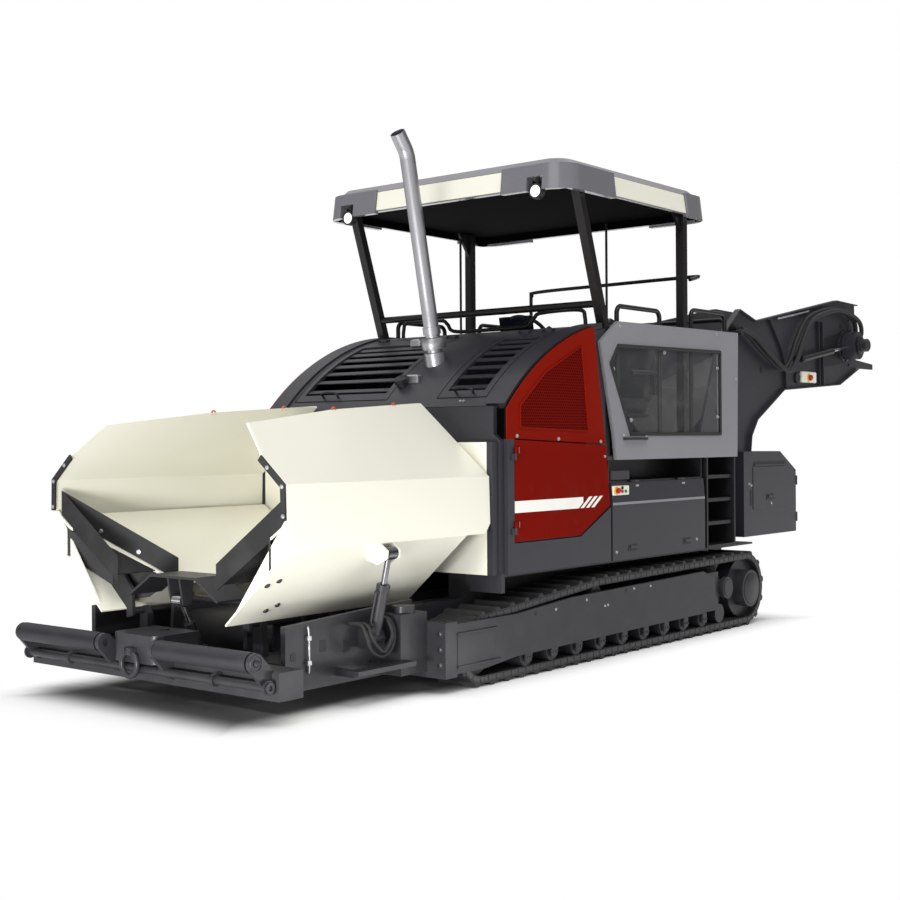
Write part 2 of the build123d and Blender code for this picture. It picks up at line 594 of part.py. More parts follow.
def make_conveyor():
    """Belt loop on its rollers, trough under the machine and gooseneck with the head at the rear."""
    ends = 0.49 * BELT_LOOP

    def ring(cut, half):
        body = slab_y(belt_ring(cut), -half, half)
        far = body.edges().filter_by(Axis.Y).sort_by(Axis.X)
        return fillet(far[:2] + far[-2:], ends - cut)

    nodes["conveyor_belt"] = ring(0, BELT_HALF) - ring(BELT_THICK, BELT_HALF + 5)
    out = TROUGH_IN + TROUGH_WALL
    trough_path = [(1130, 500), BELT_PATH[1], (NECK_FRONT, BELT_PATH[1][1] + (BELT_PATH[1][0] - NECK_FRONT)
                                              * (BELT_PATH[2][1] - BELT_PATH[1][1]) / (BELT_PATH[1][0] - BELT_PATH[2][0]))]
    wall = offset_line(trough_path, -TROUGH_RISE) + offset_line(trough_path, BELT_LOOP + 25)[::-1]
    trough = slab_y(wall, TROUGH_IN, out) + slab_y(wall, -out, -TROUGH_IN)
    inside = offset_line(BELT_PATH, BELT_THICK + 40 + RUN_GAP)
    for x, z in ((900, inside[0][1]), (0, inside[0][1]), (-900, inside[0][1]), (-1800, inside[0][1])):
        trough += bar((x, -TROUGH_IN, z), (x, TROUGH_IN, z), 40)
    ends_mid = offset_line(BELT_PATH, BELT_LOOP / 2)
    drum_r = ends - BELT_THICK - RUN_GAP
    trough += bar((ends_mid[0][0] - ends, -BELT_HALF, ends_mid[0][1]), (ends_mid[0][0] - ends, BELT_HALF, ends_mid[0][1]), drum_r)
    trough += bar((ends_mid[0][0] - ends, -TROUGH_IN, ends_mid[0][1]), (ends_mid[0][0] - ends, TROUGH_IN, ends_mid[0][1]), 35)
    nodes["conveyor_trough"] = trough
    plate = [(NECK_FRONT, FLOOR_TOP), (BEAM_REAR, FLOOR_TOP), (-4620, 1000), (-4960, 1500), (-4990, 1680), (-5120, 1837),
             (-5712, 2140), (-7077, 2228), (-7600, 2420), (-7560, 3120), (-7000, 3130), (-5100, 2790), (-4760, 2880), (-4400, 2600),
             (NECK_FRONT, 1500)]
    neck = slab_y(plate, NECK_IN, NECK_IN + NECK_WALL) + slab_y(plate, -NECK_IN - NECK_WALL, -NECK_IN)
    (xa, za), (xb, zb) = inside[2], inside[3]
    slope = atan2(zb - za, xb - xa)
    for share in (0.15, 0.5, 0.8):
        x, z = xa + (xb - xa) * share, za + (zb - za) * share
        neck += bar((x, -NECK_IN, z), (x, NECK_IN, z), 40)
    head_x, head_z = ends_mid[3][0] - cos(slope) * ends, ends_mid[3][1] - sin(slope) * ends
    neck += bar((head_x, -BELT_HALF, head_z), (head_x, BELT_HALF, head_z), drum_r)
    neck += bar((head_x, -NECK_IN - 180, head_z), (head_x, NECK_IN + 180, head_z), 45)
    neck += bar((head_x, NECK_IN + 60, head_z), (head_x, NECK_IN + 200, head_z), 150)
    for x, z in ((-4300, 800), (-4850, 1700), (-7200, 2310)):
        neck += bar((x, -NECK_IN, z), (x, NECK_IN, z), 30)
    for side in (1, -1):
        neck += slab_y([(-7500, 2440), (REACH_REAR, 2440), (REACH_REAR, 2500), (-7500, 2560)], side * 560, side * 600)
        neck += box(-7500, -7460, side * 560, side * NECK_IN, 2440, 2560)
    nodes["conveyor_neck"] = neck


def make_engine_house():
    """Front wall, bulkhead, hood with two hinged grille lids, side panels, doors and the engine."""
    x0, x1 = HOUSE_FRONT - FASCIA_THICK, HOUSE_FRONT
    skirt = [(-SKIN_IN, 590), (-900, 590), (-900, FLOOR_TOP), (900, FLOOR_TOP), (900, 590), (SKIN_IN, 590),
             (SKIN_IN, 1640), (1110, 1690), (1110, 1885), (-1110, 1885), (-1110, 1690), (-SKIN_IN, 1640)]
    nodes["fascia"] = slab_x(skirt, x0, x1) + box(x1, WING_REAR - 12, 20 - SKIN_IN, SKIN_IN - 20, FLOOR_TOP, 1635)
    wall = HOUSE_REAR + PLATE
    bulkhead = box(HOUSE_REAR, wall, -1080, 1080, FLOOR_TOP, 2480)
    cheek = [(LID_REAR, 1500), (wall, 1500)] + [(x, arch_z(x, HOOD_SHEET + 4)) for x in (wall, -1580, LID_REAR)]
    for side in (1, -1):
        bulkhead += slab_y(cheek, side * (SKIN_IN - 24), side * (SKIN_IN - 2))
        bulkhead += box(wall, wall + PLATE, side * 1070, side * (SKIN_IN - 2), 1500, 2440)
    nodes["bulkhead"] = bulkhead
    hood = arch_sheet(ARCH[0][0], HOUSE_REAR + PLATE + 40, -HOOD_HALF, HOOD_HALF, HOOD_SHEET)
    lids = []
    for y0, y1 in LID_SIDES:
        hood -= arch_sheet(LID_FRONT, LID_REAR, y0, y1, HOOD_SHEET + 20, -10)
        lid = arch_sheet(LID_FRONT - LID_GAP, LID_REAR + LID_GAP, y0 + LID_GAP, y1 - LID_GAP, HOOD_SHEET)
        front, rear = LID_FRONT - LID_FRAME, LID_REAR + 3 * LID_FRAME
        lid -= arch_sheet(front, rear, y0 + LID_FRAME, y1 - LID_FRAME, HOOD_SHEET + 20, -10)
        for i in range(LOUVRES):
            x = front + (rear - front) * (i + 0.5) / LOUVRES
            lid += Pos(x, (y0 + y1) / 2, arch_z(x) - 18) * Rot(0, 25, 0) * Box(55, y1 - y0 - 2 * LID_FRAME + 6, 8)
        pin_z = arch_z(LID_PIN_X) + KNUCKLE_R + 3
        for y in (y0 + 60, y1 - 180):
            fixed, moving = knuckles((LID_PIN_X, y, pin_z), (0, 60, 0), 2)
            hood += fixed + box(LID_PIN_X, LID_PIN_X - 40, y, y + 60 - RUN_GAP, pin_z - 22, pin_z)
            lid += moving + box(LID_PIN_X, LID_PIN_X + 40, y + 60, y + 120 - RUN_GAP, pin_z - 25, pin_z)
        lids.append(lid)
    band = arch_sheet(ARCH[0][0] - 5, HOUSE_REAR + PLATE + 40, 1000, HOOD_HALF - 2, 14, -14)
    hood -= bar(EXHAUST_FOOT, EXHAUST_BEND, EXHAUST_R + RUN_GAP)
    nodes["hood"] = hood + band + other_side(band)
    nodes["hood_lid_right"], nodes["hood_lid_left"] = lids
    low = [(x0, FLOOR_TOP), (HOUSE_REAR, FLOOR_TOP), (HOUSE_REAR, 1130), (-1325, DOOR_LOW - DOOR_GAP - 5),
           (DOOR_FRONT + DOOR_GAP, DOOR_LOW - DOOR_GAP - 5), (DOOR_FRONT + DOOR_GAP, 1655), (x0, 1655)]
    rim = [(x0, FLOOR_TOP), (HOUSE_REAR, FLOOR_TOP), (HOUSE_REAR, 1175), (-1325, DOOR_LOW + 35),
           (DOOR_FRONT - 35, DOOR_LOW + 35), (DOOR_FRONT - 35, 1655), (x0, 1655)]
    panel = slab_y(low, SKIN_IN, SKIN_OUT) + slab_y(rim, SKIN_IN - 20, SKIN_IN + 5 - RUN_GAP)
    door_side = Part()
    for z in DOOR_HINGES:
        fixed, moving = knuckles((DOOR_PIN_X, DOOR_PIN_Y, z), (0, 0, 45), 2)
        panel += fixed + box(DOOR_PIN_X, DOOR_PIN_X + 40, SKIN_OUT, DOOR_PIN_Y, z, z + 45 - RUN_GAP)
        door_side += moving + box(DOOR_PIN_X - 40, DOOR_PIN_X, SKIN_OUT, DOOR_PIN_Y, z + 45, z + 90 - RUN_GAP)
    nodes["side_panels"] = panel + other_side(panel)
    door = [(DOOR_FRONT, DOOR_LOW), (-1320, DOOR_LOW), (HOUSE_REAR + 10, 1145), (HOUSE_REAR + 60, 1590), (DOOR_REAR, 1605),
            (DOOR_FRONT, DOOR_HIGH)]
    pair("engine_door", slab_y(door, SKIN_IN + 5, SKIN_OUT) + door_side)
    keep = [(x0, 1655), (DOOR_FRONT + DOOR_GAP, 1655), (DOOR_FRONT, 1659), (-1668, 1615), (-1500, 2600), (x0, 2600)]
    under_arch = bar((ARCH_X, SKIN_IN - 5, ARCH_Z), (ARCH_X, SKIN_OUT + 5, ARCH_Z), ARCH_R)
    upper = slab_y(keep, SKIN_IN, SKIN_OUT) & under_arch
    nodes["upper_panels"] = upper + other_side(upper)
    nodes["engine_block"] = box(-560, -1420, -430, 430, FLOOR_TOP, 1620)


def make_platform():
    """Deck, storage boxes with their lids, steps, window panels, rear boxes, seats and console."""
    nodes["deck"] = box(HOUSE_REAR, DECK_REAR, -SKIN_IN, SKIN_IN, DECK_TOP - DECK_THICK, DECK_TOP)
    low = DECK_TOP - DECK_THICK
    store = box(STORE_FRONT, STORE_REAR, STORE_IN, SKIN_IN, FLOOR_TOP, low)
    store -= box(STORE_FRONT - 15, STORE_REAR + 15, STORE_IN + 15, SKIN_IN + 5, FLOOR_TOP + 15, STORE_LID_TOP - 10)
    store -= box(STORE_FRONT - 15, STORE_REAR + 15, STORE_IN + 15, SKIN_IN + 5, STORE_LID_TOP + 15, low + 5)
    seat = SKIN_IN + RUN_GAP
    lid = [(seat, STORE_LID_TOP), (seat, FLOOR_TOP), (SKIN_OUT, FLOOR_TOP), (SKIN_OUT, STORE_RIDGE),
           (SKIN_IN + 15, STORE_LID_TOP)]
    lid = slab_x(lid, STORE_REAR, STORE_FRONT - 15)
    for x in STORE_HINGES:
        fixed, moving = knuckles((x, STORE_PIN_Y, STORE_PIN_Z), (-60, 0, 0), 2)
        store += fixed + box(x, x - 60 + RUN_GAP, SKIN_IN - 6, STORE_PIN_Y, STORE_PIN_Z, STORE_PIN_Z + 6)
        lid += moving + box(x - 60, x - 120 + RUN_GAP, SKIN_IN + 6, STORE_PIN_Y, STORE_LID_TOP - 15, STORE_PIN_Z)
    nodes["storage_boxes"] = store + other_side(store)
    pair("storage_lid", lid)
    column = box(STEP_FRONT, STEP_REAR, STORE_IN, SKIN_OUT - 10, FLOOR_TOP, low)
    column -= box(STEP_FRONT - 25, STEP_REAR + 25, STORE_IN + 25, SKIN_OUT, FLOOR_TOP + 20, low + 5)
    for i in range(STEP_RUNGS):
        z = FLOOR_TOP + 190 + i * 200
        column += box(STEP_FRONT - 20, STEP_REAR + 20, SKIN_OUT - 140, SKIN_OUT - 30, z, z + 30)
    nodes["steps"] = column + other_side(column)
    frame = [(-1610, 2390), (-1860, 2560), (-3840, WINDOW_TOP), (-3815, DECK_TOP - DECK_THICK), (-1830, DECK_TOP - DECK_THICK),
             (-1800, 1680)]
    pane = [(-1745, 2230), (-1850, 2370), (-3500, 2395), (-3500, 1690), (-2030, 1690)]
    panel = slab_y(frame, SKIN_IN, SKIN_OUT) - slab_y(pane, SKIN_IN - 5, SKIN_OUT + 5)
    glass = slab_y(pane, SKIN_IN + 10, SKIN_IN + 18)
    nodes["window_panels"] = panel + other_side(panel)
    nodes["window_glass"] = glass + other_side(glass)
    inner = NECK_IN + NECK_WALL
    rear = [(REAR_BOX_FRONT, REAR_BOX_LOW), (REAR_BOX_REAR, REAR_BOX_LOW), (REAR_BOX_REAR, 1345), (-4870, REAR_BOX_TOP),
            (REAR_BOX_FRONT, REAR_BOX_TOP)]
    shell = slab_y(rear, inner, REAR_BOX_OUT - REAR_DOOR - RUN_GAP)
    shell -= slab_y([(REAR_BOX_FRONT - 40, REAR_BOX_LOW + 30), (REAR_BOX_REAR + 40, REAR_BOX_LOW + 30),
                     (REAR_BOX_REAR + 40, 1330), (-4870, REAR_BOX_TOP - 30), (REAR_BOX_FRONT - 40, REAR_BOX_TOP - 30)],
                    inner + 25, REAR_BOX_OUT)
    door = slab_y(rear, REAR_BOX_OUT - REAR_DOOR, REAR_BOX_OUT)
    for z in REAR_HINGES:
        fixed, moving = knuckles((REAR_PIN_X, REAR_BOX_OUT, z), (0, 0, 45), 2)
        shell += fixed + box(REAR_PIN_X, REAR_BOX_REAR, REAR_BOX_OUT - REAR_DOOR - 30, REAR_BOX_OUT, z, z + 45 - RUN_GAP)
        door += moving + box(REAR_PIN_X, REAR_BOX_REAR, REAR_BOX_OUT - 12, REAR_BOX_OUT, z + 45, z + 90 - RUN_GAP)
    nodes["rear_boxes"] = shell + other_side(shell)
    pair("rear_box_door", door)
    seats = Part()
    for y in (-620, 620):
        seats += box(-2840, -2560, y - 130, y + 130, DECK_TOP, 1860)
        seats += box(-2960, -2460, y - 250, y + 250, 1860, 1990)
        seats += slab_y([(-2960, 1990), (-2840, 1990), (-2930, 2560), (-3040, 2560)], y - 240, y + 240)
    nodes["seats"] = seats
    console = box(-2250, -2000, -330, 330, DECK_TOP, 2350)
    console += slab_y([(-2250, 2350), (-2000, 2350), (-2080, 2480), (-2250, 2440)], -330, 330)
    console += bar((-2180, 0, 2400), (-2330, 0, 2560), 25)
    console += Pos(-2330, 0, 2560) * Rot(0, -43, 0) * Torus(190, 16) + Pos(-2330, 0, 2560) * Rot(0, -43, 0) * Box(40, 380, 16)
    nodes["console"] = console


def make_roof():
    """Posts, roof shell with its pale panels and lamps, handrails and the exhaust."""
    posts = Part()
    half = POST / 2
    for side in (1, -1):
        leg = [(POST_FOOT_X - half, DECK_TOP), (POST_FOOT_X + half, DECK_TOP), (POST_FOOT_X + half, POST_KNEE_Z),
               (POST_HEAD_X + half, ROOF_LOW + 60), (POST_HEAD_X - half, ROOF_LOW + 60), (POST_FOOT_X - half, POST_KNEE_Z)]
        posts += slab_y(leg, side * (POST_Y - half), side * (POST_Y + half))
        posts += box(POST_REAR_X - half, POST_REAR_X + half, side * (POST_Y - half), side * (POST_Y + half), DECK_TOP, ROOF_LOW + 60)
        gusset = [(POST_REAR_X, ROOF_LOW + 58), (POST_REAR_X + 180, ROOF_LOW + 58), (POST_REAR_X, ROOF_LOW - 190)]
        posts += slab_y(gusset, side * (POST_Y - 12), side * (POST_Y + 12))
    rail_x = POST_FOOT_X + (POST_HEAD_X - POST_FOOT_X) * (RAIL_Z - POST_KNEE_Z) / (ROOF_LOW + 60 - POST_KNEE_Z)
    posts += bar((rail_x, -POST_Y, RAIL_Z), (rail_x, POST_Y, RAIL_Z), 28)
    nodes["posts"] = posts
    mid = (ROOF_FRONT + ROOF_REAR) / 2
    length, width = ROOF_FRONT - ROOF_REAR, 2 * ROOF_HALF
    outline = RectangleRounded(length, width, 190)
    top = RectangleRounded(length - 160, width - 160, 140)
    body = loft([Pos(mid, 0, ROOF_LOW) * outline, Pos(mid, 0, ROOF_LOW + ROOF_EDGE) * RectangleRounded(length - 50, width - 50, 170)])
    body += loft([Pos(mid, 0, ROOF_LOW + ROOF_EDGE) * RectangleRounded(length - 50, width - 50, 170),
                  Pos(mid, 0, ROOF_LOW + ROOF_EDGE + ROOF_CROWN) * top])
    body -= box(ROOF_REAR + 60, ROOF_FRONT - 60, -ROOF_HALF + 35, ROOF_HALF - 35, ROOF_LOW - 5, ROOF_LOW + 60)
    def rim(grow, z):
        """Outline of the roof, larger by a distance, at a height."""
        return Pos(mid, 0, z) * RectangleRounded(length + 2 * grow, width + 2 * grow, 190 + grow)

    caps = loft([rim(30, ROOF_LOW - 18), rim(8, ROOF_LOW + ROOF_EDGE + 12)])
    caps -= extrude(rim(-20, ROOF_LOW - 30), ROOF_EDGE + 60)
    edge = ROOF_HALF + 60
    corners = Part()
    for side in (1, -1):
        corners += box(ROOF_FRONT + 60, CAP_REAR, side * CAP_IN, side * edge, ROOF_LOW - 30, ROOF_LOW + ROOF_EDGE + 30)
        corners += box(ROOF_REAR - 60, CAP_FRONT, side * CAP_IN, side * edge, ROOF_LOW - 30, ROOF_LOW + ROOF_EDGE + 30)
    body += caps & corners
    for y in (-LAMP_Y, LAMP_Y):
        body -= box(ROOF_FRONT - 120, ROOF_FRONT + 60, y - 70, y + 70, ROOF_LOW - 30, LAMP_ROOF)
    nodes["roof"] = body
    lean = 25 / ROOF_EDGE

    def facing(edge):
        """Section of a pale panel that lies on the leaning edge of the roof."""
        return [(edge + out - lean * up, ROOF_LOW + up)
                for out, up in ((RUN_GAP, 8), (12, 8), (12, 158), (RUN_GAP, 158))]

    front = slab_y(facing(ROOF_FRONT), -CAP_IN + 5, CAP_IN - 5)
    strip = slab_x(facing(ROOF_HALF), CAP_REAR - 5, CAP_FRONT + 5)
    nodes["roof_panels"] = front + strip + other_side(strip)
    lamps = Part()
    for y in (-LAMP_Y, LAMP_Y):
        lamps += bar((ROOF_FRONT - 40, y, LAMP_Z), (ROOF_FRONT + 10, y, LAMP_Z), LAMP_R)
        lamps += box(ROOF_FRONT - 40, ROOF_FRONT - 20, y - 12, y + 12, LAMP_Z, LAMP_ROOF)
    nodes["lamps"] = lamps
    rails = tube([(-3800, -1090, DECK_TOP), (-3800, -1090, 2700), (-3800, 1090, 2700), (-3800, 1090, DECK_TOP)], RAIL_R, 60)
    for side in (1, -1):
        y = side * 1130
        rails += tube([(-3120, y, DECK_TOP), (-3120, y, 2740), (-3720, y, 2740), (-3720, y, DECK_TOP)], RAIL_R, 60)
        rails += tube([(-1950, y, DECK_TOP), (-1950, y, 2690), (-2600, y, 2690), (-2600, y, DECK_TOP)], RAIL_R, 60)
    nodes["handrails"] = rails
    pipe = tube([EXHAUST_FOOT, EXHAUST_BEND, EXHAUST_TIP], EXHAUST_R, 200)
    pipe -= tube([EXHAUST_FOOT, EXHAUST_BEND, EXHAUST_TIP], EXHAUST_R - EXHAUST_WALL, 200)
    collar = bar(EXHAUST_FOOT, (EXHAUST_FOOT[0] + 30, EXHAUST_FOOT[1], EXHAUST_FOOT[2] + 130), EXHAUST_R + 25)
    collar -= arch_sheet(-500, -1300, 0, 400, 900) + bar(EXHAUST_FOOT, EXHAUST_BEND, EXHAUST_R - EXHAUST_WALL)
    nodes["exhaust"] = pipe + collar


make_tracks()
make_track_frames()
make_main_frame()
make_hopper_frame()
make_push_beam()
make_wings()
make_cylinders()
make_apron()
make_conveyor()
make_engine_house()
make_platform()
make_roof()

os.makedirs("parts", exist_ok=True)
for name, piece in nodes.items():
    export_step(Pos(TO_MIDDLE, 0, 0) * piece, f"parts/{name}.step")
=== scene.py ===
"""Looks of the tracked mobile feeder: its finishes and the small pieces that the solids leave out.

Lengths are metres. Stations along X are measured from the tracks' front ground contact, as on the
machine's drawing, and at() moves them into the frame.
"""
import json
from math import cos, pi, radians, sin
import bmesh
import bpy
import numpy as np
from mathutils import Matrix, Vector


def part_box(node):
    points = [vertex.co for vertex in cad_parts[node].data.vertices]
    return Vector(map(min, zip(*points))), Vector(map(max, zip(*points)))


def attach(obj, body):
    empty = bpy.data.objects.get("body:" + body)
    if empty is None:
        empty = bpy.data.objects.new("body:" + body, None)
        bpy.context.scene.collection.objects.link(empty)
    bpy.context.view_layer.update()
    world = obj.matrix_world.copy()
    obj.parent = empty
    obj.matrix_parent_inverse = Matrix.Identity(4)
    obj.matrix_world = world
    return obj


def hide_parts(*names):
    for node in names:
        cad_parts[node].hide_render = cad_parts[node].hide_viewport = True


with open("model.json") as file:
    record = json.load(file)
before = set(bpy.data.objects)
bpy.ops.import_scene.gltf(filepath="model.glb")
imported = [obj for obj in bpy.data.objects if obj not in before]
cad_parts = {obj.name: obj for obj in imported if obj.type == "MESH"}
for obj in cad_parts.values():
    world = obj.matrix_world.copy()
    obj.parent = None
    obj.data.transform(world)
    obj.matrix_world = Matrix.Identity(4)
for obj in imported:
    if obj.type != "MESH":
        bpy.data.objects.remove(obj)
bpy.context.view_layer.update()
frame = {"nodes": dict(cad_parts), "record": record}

ROLLER_REACH = 1.933     # front of the push rollers, from the tracks' front contact
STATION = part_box("push_roller_left")[1][0] - ROLLER_REACH
SIDES = (("left", 1), ("right", -1))
SKIN = 1.200             # outer face of the side panels
FLAT_ANGLE = radians(38)  # edges sharper than this stay crisp


def at(x, y, z):
    """Point at a station of the machine, in the frame."""
    return np.array([x + STATION, y, z])


class Signal:
    """Output of a shader node: arithmetic on it adds Math nodes to the same material."""

    def __init__(self, look, out):
        self.look, self.out = look, out

    def math(self, operation, first, second=0.0):
        return self.look.node("ShaderNodeMath", {"operation": operation}, {0: first, 1: second})

    def __add__(self, other):
        return self.math("ADD", self, other)

    __radd__ = __add__

    def __mul__(self, other):
        return self.math("MULTIPLY", self, other)

    __rmul__ = __mul__

    def __sub__(self, other):
        return self.math("SUBTRACT", self, other)

    def __rsub__(self, other):
        return self.math("SUBTRACT", other, self)

    def __truediv__(self, other):
        return self.math("DIVIDE", self, other)

    def __mod__(self, other):
        return self.math("FLOORED_MODULO", self, other)

    def __gt__(self, other):
        return self.math("GREATER_THAN", self, other)

    def __lt__(self, other):
        return self.math("LESS_THAN", self, other)

    def __abs__(self):
        return self.math("ABSOLUTE", self)

    def ramp(self, low, high):
        """0 below low, 1 above high and smooth between them."""
        return self.look.node("ShaderNodeMapRange", {"interpolation_type": "SMOOTHSTEP"},
                              {"Value": self, "From Min": low, "From Max": high})


class Nodes:
    """Node tree that is filled one call at a time."""

    def __init__(self, tree):
        self.tree = tree
        tree.nodes.clear()

    def node(self, kind, settings, inputs, output=0):
        """Any node: its settings first, then the values or links of its sockets."""
        made = self.tree.nodes.new(kind)
        for key, value in settings.items():
            setattr(made, key, value)
        for key, value in inputs.items():
            self.feed(made.inputs[key], value)
        return Signal(self, made.outputs[output])

    def feed(self, socket, value):
        """Links a signal to a socket, or sets the socket's value."""
        if isinstance(value, Signal):
            self.tree.links.new(value.out, socket)
        else:
            socket.default_value = value

    def split(self, place):
        """The three parts of a vector."""
        parts = self.tree.nodes.new("ShaderNodeSeparateXYZ")
        self.tree.links.new(place.out, parts.inputs[0])
        return [Signal(self, out) for out in parts.outputs]


class Look(Nodes):
    """A material with one Principled shader in the machine's own coordinates."""

    def __init__(self, name, **fixed):
        self.material = bpy.data.materials.new(name)
        self.material.use_nodes = True
        super().__init__(self.material.node_tree)
        self.end = self.tree.nodes.new("ShaderNodeOutputMaterial")
        self.shader = self.tree.nodes.new("ShaderNodeBsdfPrincipled")
        self.tree.links.new(self.shader.outputs[0], self.end.inputs["Surface"])
        self.place = self.node("ShaderNodeTexCoord", {}, {}, "Object")
        self.x, self.y, self.z = self.split(self.place)
        self.set(**fixed)

    def set(self, **values):
        """Values or links of the shader's sockets, with _ for the spaces in their names."""
        for key, value in values.items():
            self.feed(self.shader.inputs[key.replace("_", " ")], value)
        return self

    def noise(self, scale, detail=3.0, stretch=None):
        """Cloudy value about 0.5, finer with scale and longer along an axis with stretch."""
        where = self.place
        if stretch is not None:
            where = self.node("ShaderNodeMapping", {}, {"Vector": where, "Scale": stretch})
        return self.node("ShaderNodeTexNoise", {}, {"Vector": where, "Scale": scale, "Detail": detail})

    def mix(self, share, first, second):
        """Colour between two colours."""
        return self.node("ShaderNodeMix", {"data_type": "RGBA"}, {0: share, 6: first, 7: second}, 2)

    def cover(self, share, colour):
        """Lets a colour take over where the share is 1."""
        under = Signal(self, self.shader.inputs["Base Color"].links[0].from_socket)
        return self.set(Base_Color=self.mix(share, under, colour))

    def blend(self, share, other):
        """Lets another shader take over where the share is 1."""
        own = Signal(self, self.shader.outputs[0])
        mixed = self.node("ShaderNodeMixShader", {}, {0: share, 1: own, 2: other})
        self.tree.links.new(mixed.out, self.end.inputs["Surface"])
        return self

    def bump(self, height, distance, strength=1.0):
        """Normal that follows a height in metres of the given depth."""
        self.set(Normal=self.node("ShaderNodeBump", {}, {"Height": height, "Distance": distance,
                                                         "Strength": strength}))
        return self


def shade(red, green, blue):
    """Colour from its 0 to 255 screen values."""
    c = np.array([red, green, blue]) / 255
    linear = np.where(c <= 0.04045, c / 12.92, ((c + 0.055) / 1.055) ** 2.4)
    return (*linear.tolist(), 1.0)


DUST = shade(112, 108, 102)
CREAM = shade(238, 236, 221)
CHARCOAL = shade(51, 50, 56)
WHITE = shade(244, 243, 236)


def paint(name, colour, roughness, coat=0.0, dust=0.35, spread=0.18, gloss=0.3):
    """Sprayed paint: slow drift of its tone, fine peel, dust that thins with height, faint scuffs."""
    look = Look(name, Coat_Roughness=0.12, Specular_IOR_Level=gloss)
    dark = tuple(c * (1 - spread) for c in colour[:3]) + (1.0,)
    tone = look.mix(look.noise(1.7, 4.0), dark, colour)
    low = 1 - look.z.ramp(0.05, 1.15)
    film = (look.noise(6.0, 6.0).ramp(0.35, 0.85) * low + look.noise(38.0, 3.0).ramp(0.6, 0.8) * 0.1) * dust
    streak = look.noise(9.0, 5.0, (0.6, 0.6, 7.0)).ramp(0.62, 0.78) * 0.12
    look.set(Base_Color=look.mix(film + streak * dust, tone, DUST),
             Roughness=roughness + film * 0.5 + look.noise(60.0) * 0.08 - 0.04,
             Coat_Weight=coat - film * coat)
    return look.bump(look.noise(340.0, 2.0), 0.003, 0.12)


def red_paint():
    """Red paint of the engine doors, with the white stripe and its three slanted bars."""
    look = Look("red_paint", Specular_IOR_Level=0.03)
    x = look.x - STATION
    top, low = 1.222, 1.140
    band = (look.z > low) * (look.z < top)
    lean = x + (look.z - low) * 1.45
    stripe = (x > -1.36) * (lean > -1.30)
    bars = sum(((lean < -1.322 - i * 0.072) * (lean > -1.366 - i * 0.072) for i in range(3)), stripe)
    pale = band * bars * (abs(look.y) > SKIN - 0.02)
    # Painted light and shade: the red is darker below 1.55 m and lighter above 1.75 m, as more light falls on
    # the upper panels.
    drift = look.mix(look.z.ramp(1.55, 1.75), shade(119, 11, 0), shade(133, 22, 6))
    tone = look.mix(look.noise(2.0, 4.0) * 0.35, drift, shade(108, 12, 2))
    film = look.noise(7.0, 6.0).ramp(0.5, 0.8) * (1 - look.z.ramp(0.7, 1.6)) * 0.15
    look.set(Base_Color=look.mix(film, look.mix(pale, tone, WHITE), DUST),
             Roughness=0.44 + film + look.noise(50.0) * 0.08)
    # Painted shade: the inside faces of the red panels, behind the outer skin, are turned near black.
    look.cover(abs(look.y) < SKIN - 0.012, shade(14, 12, 12))
    return look.bump(look.noise(320.0, 2.0), 0.002, 0.1)


def roof_shell():
    """Moulded roof: glossy grey lacquer outside, and near-black painted shade on its hollow underside."""
    look = paint("roof_grey", shade(114, 113, 119), 0.20, 0.6, 0.03, 0.06, 0.5)
    x = look.x - STATION
    # Painted shade: the roof's hollow underside gets a dull near-black shader in place of the lacquer.
    inside = (look.z < 3.585) * (abs(look.y) < 1.172) * (x < -1.185) * (x > -3.235)
    painted_underside_shade = look.node("ShaderNodeBsdfPrincipled", {}, {"Base Color": shade(3, 3, 5), "Roughness": 0.9,
                                                        "Specular IOR Level": 0.04})
    return look.blend(inside, painted_underside_shade)


def wing_floor_paint():
    """Hopper floor: cream on top, black on its ribs and underside."""
    look = paint("wing_floor_paint", CREAM, 0.38, 0.2, 0.1, 0.04)
    return look.cover(look.z < (abs(look.y) - 0.4) * (0.455 / 0.68) + 0.682, shade(40, 40, 43))


def fascia_paint():
    """Front wall of the engine house: charcoal, with the hopper's cream rear face."""
    look = paint("fascia_paint", CHARCOAL, 0.42, 0.08, 0.12)
    return look.cover((look.x - STATION > -0.330) * (abs(look.y) < 1.10), CREAM)


def rubber(name, colour, grain=180.0):
    """Matt rubber: dusty grey in patches, with a fine grain."""
    look = Look(name)
    patch = look.noise(5.0, 6.0).ramp(0.4, 0.75)
    look.set(Base_Color=look.mix(patch * 0.1, colour, DUST), Roughness=0.62 + patch * 0.2)
    return look.bump(look.noise(grain, 4.0), 0.004, 0.4)


def bare_steel(name, colour, roughness, brushed=(1, 1, 1), rust=0.2):
    """Bare metal: fine lines along the work, darker stains and a little rust."""
    look = Look(name)
    lines = look.noise(90.0, 4.0, brushed)
    stain = look.noise(4.0, 6.0).ramp(0.5, 0.75)
    worn = look.mix(stain * rust, look.mix(lines, tuple(c * 0.75 for c in colour[:3]) + (1.0,), colour),
                    shade(92, 66, 48))
    look.set(Base_Color=worn, Roughness=roughness + lines * 0.12 + stain * 0.15,
             Metallic=1 - stain * rust)
    return look.bump(lines, 0.001, 0.25)


def track_steel():
    """Track shoes: dark steel, polished on the grousers and packed with pale dust low down."""
    look = Look("track_steel")
    mud = look.noise(14.0, 6.0).ramp(0.45, 0.7) * (1 - look.z.ramp(0.02, 0.5))
    worn = look.noise(30.0, 4.0).ramp(0.5, 0.72)
    steel = look.mix(worn, shade(25, 25, 27), shade(50, 49, 51))
    look.set(Base_Color=look.mix(mud * 0.12, steel, DUST), Roughness=0.55 + mud * 0.3 - worn * 0.1,
             Metallic=worn * 0.5)
    return look.bump(look.noise(120.0, 5.0), 0.004, 0.5)


